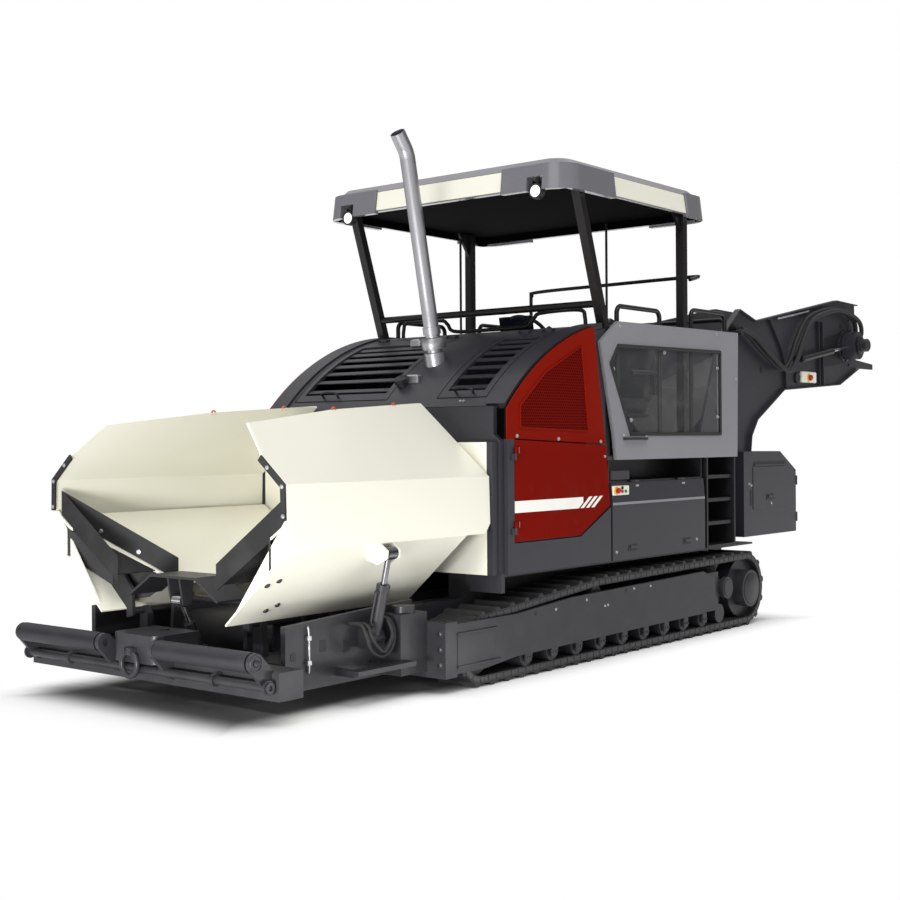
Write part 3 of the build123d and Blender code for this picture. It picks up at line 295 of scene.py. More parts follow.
def glass():
    """Clear pane with a trace of dust."""
    look = Look("clear_glass", IOR=1.45, Specular_IOR_Level=0.5)
    film = look.noise(9.0, 5.0).ramp(0.5, 0.8)
    look.set(Base_Color=look.mix(film, shade(150, 152, 154), shade(168, 168, 166)),
             Roughness=0.02 + film * 0.06, Alpha=0.07 + film * 0.04)
    return look


def chequer(name, colour):
    """Chequer plate: short bars set by turns along and across, raised from worn dark paint."""
    look = Look(name)
    pitch = 0.045
    u, v = look.x + look.y, look.x - look.y
    turn = ((u / pitch) % 2 > 1) - ((v / pitch) % 2 > 1)
    du, dv = abs((u % pitch) - pitch / 2), abs((v % pitch) - pitch / 2)
    flip = abs(turn)
    long = du * flip + dv * (1 - flip)
    short = dv * flip + du * (1 - flip)
    bar = (1 - long.ramp(0.013, 0.018)) * (1 - short.ramp(0.003, 0.006))
    dirt = look.noise(8.0, 5.0).ramp(0.45, 0.75)
    look.set(Base_Color=look.mix(bar * 0.5, look.mix(dirt * 0.4, colour, DUST), shade(110, 108, 104)),
             Roughness=0.6 - bar * 0.15, Metallic=bar * 0.5)
    return look.bump(bar, 0.003, 0.8)


def perforated():
    """Red sheet punched with rows of small round holes, drawn as dark dots of painted shade."""
    look = Look("perforated_red", Specular_IOR_Level=0.02)
    pitch = 0.024
    row = (look.z / (pitch * 0.866)) % 2 > 1
    across = abs(((look.x + row * (pitch / 2)) % pitch) - pitch / 2)
    up = abs((look.z % (pitch * 0.866)) - pitch * 0.433)
    hole = 1 - (across * across + up * up).ramp(0.006 ** 2, 0.009 ** 2)
    tone = look.mix(look.noise(3.0), shade(106, 10, 3), shade(116, 13, 5))
    # Painted shade: the hole dots are dark for the shaded inside seen through them.
    look.set(Base_Color=look.mix(hole, tone, shade(52, 8, 6)), Roughness=0.42 + hole * 0.4)
    return look.bump(1 - hole, 0.003, 0.6)


def lamp():
    """Lamp: ribbed pale lens that glows, in a black body on a black stem."""
    look = Look("lamp_white", Emission_Strength=0.9, Coat_Weight=0.3)
    ribs = abs((look.y % 0.012) - 0.006) / 0.006
    lens = look.x - STATION > -1.123
    pale = look.mix(ribs, shade(232, 234, 238), shade(255, 255, 255))
    look.set(Base_Color=look.mix(lens, shade(20, 20, 22), pale),
             Emission_Color=look.mix(lens, shade(0, 0, 0), pale), Roughness=0.5 - lens * 0.35)
    return look.bump(ribs, 0.002, 0.5)


def leather():
    """Black seat cover: fine grain with worn, paler patches."""
    look = Look("seat_black")
    worn = look.noise(6.0, 5.0).ramp(0.5, 0.8)
    look.set(Base_Color=look.mix(worn, shade(20, 20, 22), shade(48, 47, 48)), Roughness=0.55 + worn * 0.15)
    cells = look.node("ShaderNodeTexVoronoi", {}, {"Vector": look.place, "Scale": 260.0})
    return look.bump(cells, 0.002, 0.35)


def plain(name, colour, roughness, metallic=0.0):
    """Small fittings: one colour with a faint cloud in tone and shine."""
    look = Look(name, Metallic=metallic)
    cloud = look.noise(25.0, 4.0)
    dark = tuple(c * 0.75 for c in colour[:3]) + (1.0,)
    look.set(Base_Color=look.mix(cloud, dark, colour), Roughness=roughness + cloud * 0.15 - 0.07)
    return look.bump(look.noise(400.0, 2.0), 0.001, 0.15)


LOOKS = {
    "cream_paint": paint("cream_paint", CREAM, 0.34, 0.2, 0.05, 0.03),
    "charcoal_paint": paint("charcoal_paint", CHARCOAL, 0.40, 0.08, 0.1),
    "black_paint": paint("black_paint", shade(44, 44, 48), 0.42, 0.06, 0.1),
    "red_paint": red_paint(),
    "window_grey": paint("window_grey", shade(138, 137, 142), 0.42, 0.05, 0.1),
    "brown_black_paint": paint("brown_black_paint", shade(24, 21, 21), 0.34, 0.15, 0.04),
    "roof_grey": roof_shell(),
    "black_plastic": plain("black_plastic", shade(24, 24, 26), 0.5),
    "seat_black": leather(),
    "belt_rubber": rubber("belt_rubber", shade(24, 24, 24)),
    "black_rubber": rubber("black_rubber", shade(20, 20, 22)),
    "track_steel": track_steel(),
    "worn_steel": bare_steel("worn_steel", shade(82, 82, 87), 0.46, (0.2, 4, 4), 0.04),
    "satin_steel": bare_steel("satin_steel", shade(186, 186, 190), 0.30, (3, 3, 0.2), 0.0),
    "chrome": bare_steel("chrome", shade(222, 222, 225), 0.10, (3, 3, 0.2), 0.0),
    "engine_iron": plain("engine_iron", shade(40, 40, 42), 0.6, 0.3),
    "lamp_white": lamp(),
    "clear_glass": glass(),
}
DARK = paint("dark_paint", shade(28, 28, 31), 0.42, 0.05, 0.06)
BOLT_LOOK = bare_steel("bolt_steel", shade(92, 92, 94), 0.40, (1, 1, 1), 0.02)
BRIGHT_BOLT = bare_steel("zinc_steel", shade(205, 205, 208), 0.32, (1, 1, 1), 0.0)
ORANGE = plain("orange_paint", shade(214, 104, 20), 0.4)
YELLOW = plain("yellow_plastic", shade(232, 190, 30), 0.4)
BUTTON_RED = plain("red_plastic", shade(190, 20, 18), 0.3)
BUTTON_GREEN = plain("green_plastic", shade(30, 130, 60), 0.3)
SCREEN = plain("screen_glass", shade(22, 30, 38), 0.08)
HOSE = rubber("hose_rubber", shade(20, 20, 21), 320.0)
PERFORATED = perforated()
CHEQUER = chequer("chequer_plate", shade(34, 34, 35))
WING_FLOOR = wing_floor_paint()
ROD = bare_steel("rod_chrome", shade(112, 112, 116), 0.20, (3, 3, 0.2), 0.0)
NODE_LOOKS = {"deck": CHEQUER, "fascia": fascia_paint(), "steps": DARK, "storage_boxes": DARK,
              "wing_floor_left": WING_FLOOR, "wing_floor_right": WING_FLOOR,
              "wing_rod_left": ROD, "wing_rod_right": ROD, "handrails": LOOKS["brown_black_paint"]}

for part in frame["record"]["subparts"]:
    mesh = frame["nodes"][part["node"]].data
    mesh.materials.clear()
    look = NODE_LOOKS.get(part["node"], LOOKS[part["material_slot"]])
    mesh.materials.append(look.material)


def assemble(name, grids, look, body):
    """One piece from several grids of points, each a row of closed rings with flat ends.

    A grid that ends where it starts is closed into a loop and has no ends.
    """
    points, faces, start = [], [], 0
    for grid in grids:
        looped = np.allclose(grid[0], grid[-1])
        grid = grid[:-1] if looped else grid
        rows, cols = grid.shape[:2]
        index = start + np.arange(rows * cols).reshape(rows, cols)
        ahead = np.roll(index, -1, axis=0)
        if not looped:
            faces += [index[0][::-1].tolist(), index[-1].tolist()]
            index, ahead = index[:-1], ahead[:-1]
        sides = [index, np.roll(index, -1, axis=1), np.roll(ahead, -1, axis=1), ahead]
        faces += np.stack(sides, -1).reshape(-1, 4).tolist()
        points.append(grid.reshape(-1, 3))
        start += rows * cols
    mesh = bpy.data.meshes.new(name)
    mesh.from_pydata(np.concatenate(points), [], faces)
    work = bmesh.new()
    work.from_mesh(mesh)
    bmesh.ops.recalc_face_normals(work, faces=work.faces)
    work.to_mesh(mesh)
    work.free()
    mesh.shade_smooth()
    mesh.set_sharp_from_angle(angle=FLAT_ANGLE)
    mesh.materials.append(look.material)
    piece = bpy.data.objects.new(name, mesh)
    bpy.context.scene.collection.objects.link(piece)
    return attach(piece, body)


def fit(name, grids, slot, body="chassis"):
    """A piece that wears the look of its own material slot."""
    return assemble(name, grids, LOOKS[slot], body)


def unit(vector):
    """Vectors of length 1."""
    vector = np.asarray(vector, float)
    return vector / np.linalg.norm(vector, axis=-1, keepdims=True)


def across(axis):
    """Two directions square to an axis and to each other."""
    axis = unit(axis)
    helper = np.array([0.0, 0.0, 1.0]) if abs(axis[2]) < 0.9 else np.array([1.0, 0.0, 0.0])
    u = unit(np.cross(helper, axis))
    return u, np.cross(axis, u)


def lathe(base, axis, profile, sides=20):
    """Rings round an axis: point (i, j) lies at profile radius i and height i, at angle j of the sides."""
    u, v = across(axis)
    radius, height = np.array(profile, float).T
    angle = np.arange(sides) * 2 * pi / sides
    ring = np.cos(angle)[:, None] * u + np.sin(angle)[:, None] * v
    return base + radius[:, None, None] * ring[None] + height[:, None, None] * unit(axis)


def turned_ring(base, axis, profile, sides=28):
    """Loop with a closed profile: point (i, j) lies at angle i round the axis, at radius and height j."""
    return np.swapaxes(lathe(base, axis, profile, sides), 0, 1)[np.arange(sides + 1) % sides]


def smooth_line(points, count):
    """Points at equal parameters on the cubic through all the given points (Catmull-Rom)."""
    p = np.asarray(points, float)
    p = np.concatenate([[2 * p[0] - p[1]], p, [2 * p[-1] - p[-2]]])
    t = np.linspace(0, len(p) - 3, count)
    k = np.minimum(t.astype(int), len(p) - 4)
    s = (t - k)[:, None]
    a, b, c, d = p[k], p[k + 1], p[k + 2], p[k + 3]
    bend, twist = 2 * a - 5 * b + 4 * c - d, 3 * b - a - 3 * c + d
    return 0.5 * (2 * b + (c - a) * s + bend * s ** 2 + twist * s ** 3)


def carry(profile, line):
    """Closed profile of (across, up) points carried along a line, square to it and kept upright."""
    line = np.asarray(line, float)
    along = unit(np.gradient(line, axis=0))
    u, v = across(along[0])
    us = [u]
    for step in along[1:]:
        u = unit(u - step * (u @ step))
        us.append(u)
    us = np.array(us)
    vs = np.cross(along, us)
    p = np.asarray(profile, float)
    return line[:, None] + p[None, :, :1] * us[:, None] + p[None, :, 1:] * vs[:, None]


def round_profile(radius, sides=10):
    """Circle as (across, up) points."""
    angle = np.arange(sides) * 2 * pi / sides
    return radius * np.stack([np.cos(angle), np.sin(angle)], -1)


def pipe(points, radius, count=None, sides=10):
    """Round pipe on a smooth line through points, or on straight runs where no count is given."""
    line = smooth_line(points, count) if count else np.asarray(points, float)
    return carry(round_profile(radius, sides), line)


def outline_plate(outline, origin, u, v, depth, edge=0.002):
    """Flat plate: its outline of (u, v) points carried along u x v, with both rims eased by edge."""
    p = np.asarray(outline, float)
    ahead, behind = unit(np.roll(p, -1, 0) - p), unit(p - np.roll(p, 1, 0))
    turn = np.sign(np.sum(p[:, 0] * np.roll(p[:, 1], -1) - p[:, 1] * np.roll(p[:, 0], -1)))
    inward = turn * np.stack([-(ahead + behind)[:, 1], (ahead + behind)[:, 0]], -1)
    inward /= (1 + np.sum(ahead * behind, -1))[:, None]
    u, v = np.asarray(u, float), np.asarray(v, float)
    normal = np.cross(u, v)
    ease = np.copysign(edge, depth)
    steps = ((edge, 0.0), (0.0, ease), (0.0, depth - ease), (edge, depth))
    rings = [(p + inward * inset) @ np.stack([u, v]) + origin + normal * rise for inset, rise in steps]
    return np.array(rings)


def block(low, high, edge=0.003):
    """Box between two corners with eased rims."""
    low, high = np.minimum(low, high), np.maximum(low, high)
    long, wide, tall = high - low
    c = edge
    corners = [(c, 0), (long - c, 0), (long, c), (long, wide - c), (long - c, wide), (c, wide),
               (0, wide - c), (0, c)]
    return outline_plate(corners, low, (1, 0, 0), (0, 1, 0), tall, edge)


def bolt_heads(places, normal, radius=0.012, height=0.009):
    """Hexagon heads on washers at each place."""
    washer = [(radius * 1.5, -0.001), (radius * 1.5, height * 0.25), (radius * 1.02, height * 0.3)]
    head = washer + [(radius, height * 0.3), (radius, height), (radius * 0.82, height * 1.15)]
    return [lathe(np.asarray(p, float), normal, head, 6) for p in places]


def ring_of(centre, axis, radius, count):
    """Points evenly round a circle."""
    u, v = across(axis)
    angle = np.arange(count) * 2 * pi / count
    return centre + radius * (np.cos(angle)[:, None] * u + np.sin(angle)[:, None] * v)


def loop_line(circles, pitch):
    """Points a pitch apart on the belt line round circles of (x, z, radius), with their directions.

    The line's point for a direction lies on the circle that reaches farthest that way.
    """
    turn = np.linspace(0, 2 * pi, 2881)
    way = np.stack([np.cos(turn), np.sin(turn)], -1)
    c = np.array(circles)
    far = np.argmax(way @ c[:, :2].T + c[:, 2], axis=1)
    edge = c[far, :2] + c[far, 2:] * way
    run = np.concatenate([[0], np.cumsum(np.linalg.norm(np.diff(edge, axis=0), axis=1))])
    spots = np.arange(round(run[-1] / pitch)) * pitch

    def place(s):
        return np.stack([np.interp(s % run[-1], run, edge[:, i]) for i in (0, 1)], -1)

    return place(spots), unit(place(spots + 0.02) - place(spots - 0.02))


def undercarriage():
    """Chain links on the tracks, roller rims and brackets, hub discs and fittings on the cheek plates."""
    rollers = np.linspace(-0.56, -3.39, 10)[:-1]
    cheek = 1.275            # outer face of the cheek plates
    points, ahead = loop_line([(-3.88, 0.33, 0.278), (-0.06, 0.25, 0.198), (-1.50, 0.48, 0.098)], 0.0855)
    half = [(-0.037, -0.011), (-0.028, -0.019), (-0.012, -0.019), (0, -0.012), (0.012, -0.019),
            (0.028, -0.019), (0.037, -0.011)]
    link = np.array(half + [(u, -v) for u, v in half[::-1]])
    rim = [(0.056, 0), (0.079, 0), (0.079, 0.006), (0.056, 0.006)]
    disc = [(0.135, 0), (0.135, 0.006), (0.126, 0.010), (0.0, 0.010)]
    for side, s in SIDES:
        out = np.array([0, s, 0])
        links = []
        for (x, z), (tx, tz) in zip(points, ahead):
            along = np.array([tx, 0, tz])
            up = np.cross(out, along)
            links.append(outline_plate(link, at(x, s * 1.242, z), along, up, 0.0065, 0.0015))
        assemble(f"track_links_{side}", links, BOLT_LOOK, "chassis")
        rims = [turned_ring(at(x, s * 1.2405, 0.158), out, rim, 24) for x in rollers]
        fit(f"roller_rims_{side}", rims, "worn_steel")
        plates = [block(at(x - 0.034, s * 1.252, 0.108), at(x + 0.034, s * 1.272, 0.196), 0.004)
                  for x in rollers]
        plates.append(block(at(0.022, s * 1.274, 0.142), at(0.238, s * 1.280, 0.400), 0.002))
        plates.append(block(at(-0.190, s * 1.274, 0.380), at(0.239, s * 1.288, 0.396), 0.003))
        plates.append(block(at(-0.230, s * 1.274, 0.166), at(0.239, s * 1.288, 0.182), 0.003))
        plates.append(lathe(at(-3.88, s * 1.288, 0.330), out, disc, 36))
        plates.append(lathe(at(-3.46, s * 1.283, 0.370), out, [(r * 0.55, h) for r, h in disc], 30))
        fit(f"roller_brackets_{side}", plates, "black_paint")
        heads = bolt_heads([at(0.361, s * 1.235, z) for z in (0.20, 0.30, 0.40)], (1, 0, 0), 0.019, 0.014)
        places = [at(x + dx, s * 1.272, 0.140) for x in rollers for dx in (-0.02, 0.02)]
        heads += bolt_heads(places, out, 0.006)
        assemble(f"track_bolts_{side}", heads, BOLT_LOOK, "chassis")
        plugs = ((-0.885, 0.440), (-1.282, 0.470), (-1.530, 0.403), (-1.570, 0.405), (-1.944, 0.497),
                 (-2.191, 0.495))
        heads = bolt_heads([at(x, s * cheek, z) for x, z in plugs], out, 0.008, 0.006)
        assemble(f"cheek_plugs_{side}", heads, BRIGHT_BOLT, "chassis")
        # Painted shade: flat black discs stand in for the shaded inside of two holes in each cheek plate.
        flat = [(0.016, -0.001), (0.016, 0.002), (0.0, 0.002)]
        holes = [lathe(at(x, s * cheek, z), out, flat, 18) for x, z in ((-0.638, 0.436), (-1.838, 0.492))]
        fit(f"cheek_holes_{side}", holes, "black_plastic")


def wing_floor_z(y):
    """Height of a hopper wing's floor at a distance from the machine's middle."""
    return 0.700 + 0.455 * (y - 0.4) / 0.68


def hopper_fittings():
    """Front flaps, bolts of the black strips, flaps and wing sheets, and the orange lifting eyes."""
    for side, s in SIDES:
        places = ((0.985, 1.497), (1.106, 1.387), (1.115, 1.215))
        bright = bolt_heads([at(1.642, s * y, z) for y, z in places], (1, 0, 0), 0.010)
        flap = unit((0.82, -0.57 * s, 0))
        for share in (0.34, 0.66, 0.94):
            x, y = 1.130 + 0.460 * share, 0.425 + 0.660 * share
            place = at(x + 0.0108, s * (y - 0.0090), wing_floor_z(y) + 0.040)
            bright += bolt_heads([place], flap, 0.011)
        assemble(f"strip_bolts_{side}", bright, BRIGHT_BOLT, f"wing_{side}")
        corners = ((1.075, -0.015), (1.075, 0.165), (0.48, 0.150), (0.48, -0.015))
        edge = [(y, wing_floor_z(y) + up) for y, up in corners]
        sheet = [outline_plate(edge, at(1.592 - 0.005 * s, 0, 0), (0, s, 0), (0, 0, 1), 0.010, 0.002)]
        slope = unit((0, 0.68 * s, 0.455))
        corner = [(1.590, 0.155), (1.590, 0.660), (1.236, 0.155)]
        sheet.append(outline_plate(corner, at(0, 0.4 * s, 0.694 - 0.004 * s), (1, 0, 0), slope, 0.008, 0.002))
        fit(f"front_flap_{side}", sheet, "black_rubber", f"wing_{side}")
        facet = unit((0, 0.664 * s, -0.748))
        heads = []
        for x, z in ((1.564, 0.795), (1.492, 0.819), (1.387, 0.615), (1.323, 0.647)):
            heads += bolt_heads([at(x, s * (0.605 + (z - 0.535) * 1.126), z)], facet, 0.014)
        assemble(f"wing_bolts_{side}", heads, BOLT_LOOK, f"wing_{side}")
        bow = ((-0.017, -0.01), (-0.015, 0.010), (0, 0.018), (0.015, 0.010), (0.017, -0.01))
        eyes = [pipe([at(x + dx, s * y, z + dz) for dx, dz in bow], 0.006, 20)
                for x, y, z in ((0.668, 0.588, 1.852), (0.02, 0.542, 1.891))]
        assemble(f"lifting_eyes_{side}", eyes, ORANGE, f"wing_{side}")


def push_beam_fittings():
    """Roller end rings, buffer bar clamps, tow plate bolts and what hangs on the hopper frame's sides."""
    clamp = [(0.0255, 0), (0.038, 0), (0.038, 0.03), (0.0255, 0.03)]
    clamps = []
    for y in (-0.70, 0.70):
        clamps.append(turned_ring(at(1.800, y - 0.015, 0.249), (0, 1, 0), clamp))
        clamps.append(block(at(1.750, y - 0.013, 0.270), at(1.806, y + 0.013, 0.292), 0.003))
    fit("buffer_clamps", clamps, "black_paint", "push_beam")
    heads = bolt_heads([at(1.890, y, z) for y in (-0.03, 0.03) for z in (0.352, 0.374)], (1, 0, 0), 0.009)
    assemble("push_beam_bolts", heads, BOLT_LOOK, "push_beam")
    for side, s in SIDES:
        out = (0, s, 0)
        dome = [(0.021, 0), (0.021, 0.012), (0.014, 0.017), (0, 0.018)]
        cap = lathe(at(1.872, s * 1.124, 0.395), out, dome, 20)
        fit(f"roller_cap_{side}", [cap], "worn_steel", f"push_roller_{side}")
        groove = [(0.040, 0), (0.052, 0), (0.050, 0.006), (0.042, 0.006)]
        washer = [(0.016, 0), (0.034, 0), (0.034, 0.01), (0.016, 0.01)]
        rings = [turned_ring(at(1.872, s * 1.1295, 0.395), out, groove),
                 turned_ring(at(1.800, s * 1.1595, 0.249), out, washer)]
        fit(f"roller_rings_{side}", rings, "worn_steel", "push_beam")
        # Painted shade: thin black plates and a disc stand in for the shaded inside of slots and a hole in
        # each side of the hopper frame.
        slots = [block(at(x - 0.03, s * 0.939, z - 0.035), at(x + 0.03, s * 0.943, z + 0.035), 0.002)
                 for x, z in ((1.143, 0.392), (0.940, 0.368))]
        slots.append(lathe(at(1.395, s * 0.939, 0.353), out, [(0.026, 0), (0.026, 0.004), (0, 0.004)], 20))
        fit(f"frame_slots_{side}", slots, "black_plastic")
        line = [pipe([at(1.280, s * 0.940, 0.520), at(1.280, s * 0.956, 0.500), at(1.277, s * 0.956, 0.270),
                      at(1.275, s * 0.940, 0.245)], 0.007, 30)]
        line += [block(at(1.262, s * 0.939, z), at(1.296, s * 0.966, z + 0.03), 0.003) for z in (0.29, 0.44)]
        fit(f"grease_line_{side}", line, "satin_steel")
        hoses = []
        for k in (0.0, 0.032):
            path = ((0.660, 0.938, 0.520), (0.656 + k, 1.050, 0.515), (0.656 + k, 1.095, 0.440),
                    (0.690 + k, 1.105, 0.345 + k), (0.785, 1.110, 0.300 + k), (0.880 - k, 1.105, 0.345 + k),
                    (0.914 - k, 1.095, 0.440), (0.914 - k, 1.050, 0.500), (0.912, 0.938, 0.505))
            hoses.append(pipe([at(x, s * (y + k * 0.4), z) for x, y, z in path], 0.013, 60, 10))
        assemble(f"frame_hoses_{side}", hoses, HOSE, "chassis")


ARCH = ((-0.440, 1.890), (-0.940, 2.280), (-1.720, 2.530))


def hood_z(x):
    """Height of the hood's arch: the circle through its front, middle and rear points."""
    (x1, z1), (x2, z2), (x3, z3) = ARCH
    m = np.array([[x2 - x1, z2 - z1], [x3 - x1, z3 - z1]])
    r = np.array([x2 ** 2 - x1 ** 2 + z2 ** 2 - z1 ** 2, x3 ** 2 - x1 ** 2 + z3 ** 2 - z1 ** 2]) / 2
    cx, cz = np.linalg.solve(m, r)
    return cz + np.sqrt((x1 - cx) ** 2 + (z1 - cz) ** 2 - (np.asarray(x) - cx) ** 2)


def engine_house_fittings():
    """Perforated fields with their rims, lid handles, exhaust clamp, filler cap and door locks."""
    field = np.array([(-0.568, 1.735), (-0.570, 1.893), (-0.876, 2.134), (-1.342, 2.340), (-1.425, 1.712)])
    for side, s in SIDES:
        sheet = outline_plate(field, at(0, s * SKIN, 0), (1, 0, 0), (0, 0, 1), -0.003 * s, 0.0)
        assemble(f"perforated_field_{side}", [sheet], PERFORATED, "chassis")
        rim_line = np.concatenate([field, field[:2]])
        rim_line = np.stack([rim_line[:, 0] + STATION, np.full(7, s * (SKIN + 0.003)), rim_line[:, 1]], -1)
        fit(f"field_rim_{side}", [carry(round_profile(0.007, 8), rim_line[:6])], "red_paint")
        out = (0, s, 0)
        seam = [at(x, s * SKIN, z) for x, z in ((-0.53, 1.678), (-1.04, 1.655), (-1.60, 1.634))]
        assemble(f"seam_bolts_{side}", bolt_heads(seam, out, 0.010), BRIGHT_BOLT, "chassis")
        leaves = [block(at(-0.556, s * SKIN, z), at(-0.514, s * (SKIN + 0.004), z + 0.044), 0.002)
                  for z in (1.0355, 1.5555)]
        for z in (1.0465, 1.0685, 1.5665, 1.5885):
            leaves += bolt_heads([at(-0.542, s * (SKIN + 0.004), z)], out, 0.006, 0.005)
        leaves += bolt_heads([at(-1.655, s * SKIN, 1.520)], out, 0.008)
        assemble(f"door_hinge_leaves_{side}", leaves, BRIGHT_BOLT, f"engine_door_{side}")
    for side, y in (("left", 0.74), ("right", -0.59)):
        x0 = -0.535
        foot = at(x0, y, hood_z(x0))
        lift = np.array([0.62, 0, 0.78])
        loop = [foot + (0, -0.075, 0), foot + (0, -0.075, 0) + lift * 0.04, foot + lift * 0.052,
                foot + (0, 0.075, 0) + lift * 0.04, foot + (0, 0.075, 0)]
        fit(f"lid_handle_{side}", [pipe(loop, 0.009, 26)], "black_plastic", f"hood_lid_{side}")
    foot, bend = at(-0.900, 0.180, 2.190), at(-0.560, 0.180, 3.790)
    axis = unit(bend - foot)
    collar = foot + axis * 0.20
    band = [(0.057, -0.03), (0.068, -0.028), (0.068, 0.028), (0.057, 0.03)]
    wide = [(0.060, -0.045), (0.094, -0.040), (0.098, -0.01), (0.098, 0.02), (0.090, 0.045), (0.060, 0.05)]
    clamp = [turned_ring(collar, axis, wide), turned_ring(foot + axis * 0.30, axis, band)]
    clamp.append(block(collar + (0.03, -0.16, -0.03), collar + (0.10, -0.06, 0.035), 0.012))
    top = float(hood_z(-0.70))
    clamp.append(block(at(-0.715, 0.05, top - 0.05), at(-0.640, 0.20, top + 0.02), 0.010))
    fit("exhaust_clamps", clamp, "satin_steel")
    dots = [at(-0.475, y, float(hood_z(-0.475))) for y in (0.745, 0.775)]
    assemble("hood_studs", bolt_heads(dots, (0.65, 0, 0.76), 0.008), BRIGHT_BOLT, "chassis")
    cap_foot = at(-0.63, 0.07, float(hood_z(-0.63)) - 0.005)
    profile = [(0.045, 0), (0.045, 0.03), (0.055, 0.032), (0.055, 0.062), (0.04, 0.072), (0, 0.074)]
    fit("filler_cap", [lathe(cap_foot, (0.5, 0, 0.86), profile, 22)], "black_plastic")


def padded_block(low, high, crown):
    """Cushion: a superellipsoid between two corners, whose faces swell by its crown.

    Point (u, v) is centre + half size times signed powers of the sphere's sines and cosines.
    """
    low, high = np.asarray(low, float), np.asarray(high, float)
    v = np.linspace(-pi / 2, pi / 2, 25)[1:-1]
    u = np.arange(48) * 2 * pi / 48

    def power(value, degree):
        return np.sign(value) * np.abs(value) ** degree

    ring = np.stack([power(np.cos(u), crown), power(np.sin(u), crown)], -1)
    flat = power(np.cos(v), crown)[:, None, None] * ring[None]
    up = np.broadcast_to(power(np.sin(v), crown)[:, None, None], (len(v), len(u), 1))
    return (low + high) / 2 + np.concatenate([flat, up], -1) * (high - low) / 2


def leaned(grid, pivot, angle):
    """Grid turned about the cross axis through a pivot, backwards by an angle."""
    d = grid - pivot
    c, s = cos(angle), sin(angle)
    return pivot + np.stack([d[..., 0] * c - d[..., 2] * s, d[..., 1], d[..., 0] * s + d[..., 2] * c], -1)


def seats():
    """Two operator's seats: pedestal, pan, cushion, backrest with head pad and two armrests."""
    base, frames = [], []
    for side, s in SIDES:
        y = s * 0.62
        base.append(block(at(-2.84, y - 0.13, 1.52), at(-2.56, y + 0.13, 1.60), 0.01))
        base.append(pipe([at(-2.70, y, 1.58), at(-2.70, y, 1.84)], 0.09, sides=20))
        base.append(block(at(-2.93, y - 0.22, 1.83), at(-2.47, y + 0.22, 1.875), 0.012))
        pivot = at(-2.90, y, 1.90)
        cushion = padded_block(at(-2.95, y - 0.25, 1.87), at(-2.45, y + 0.25, 2.0), 0.45)
        fit(f"seat_cushion_{side}", [cushion], "seat_black")
        back = padded_block(at(-2.965, y - 0.24, 1.94), at(-2.845, y + 0.24, 2.46), 0.42)
        head = padded_block(at(-2.955, y - 0.13, 2.45), at(-2.865, y + 0.13, 2.60), 0.5)
        for name, grid in (("seat_back", back), ("head_pad", head)):
            pad = fit(f"{name}_{side}", [leaned(grid, pivot, radians(9))], "seat_black")
        for dy in (-0.27, 0.27):
            frames.append(pipe([at(-2.93, y + dy, 2.02), at(-2.93, y + dy, 2.16), at(-2.90, y + dy, 2.20),
                                at(-2.55, y + dy, 2.20)], 0.022, 24))
    piece = fit("seat_bases", base, "black_plastic")
    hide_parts("seats")
    fit("seat_arms", frames, "black_plastic")


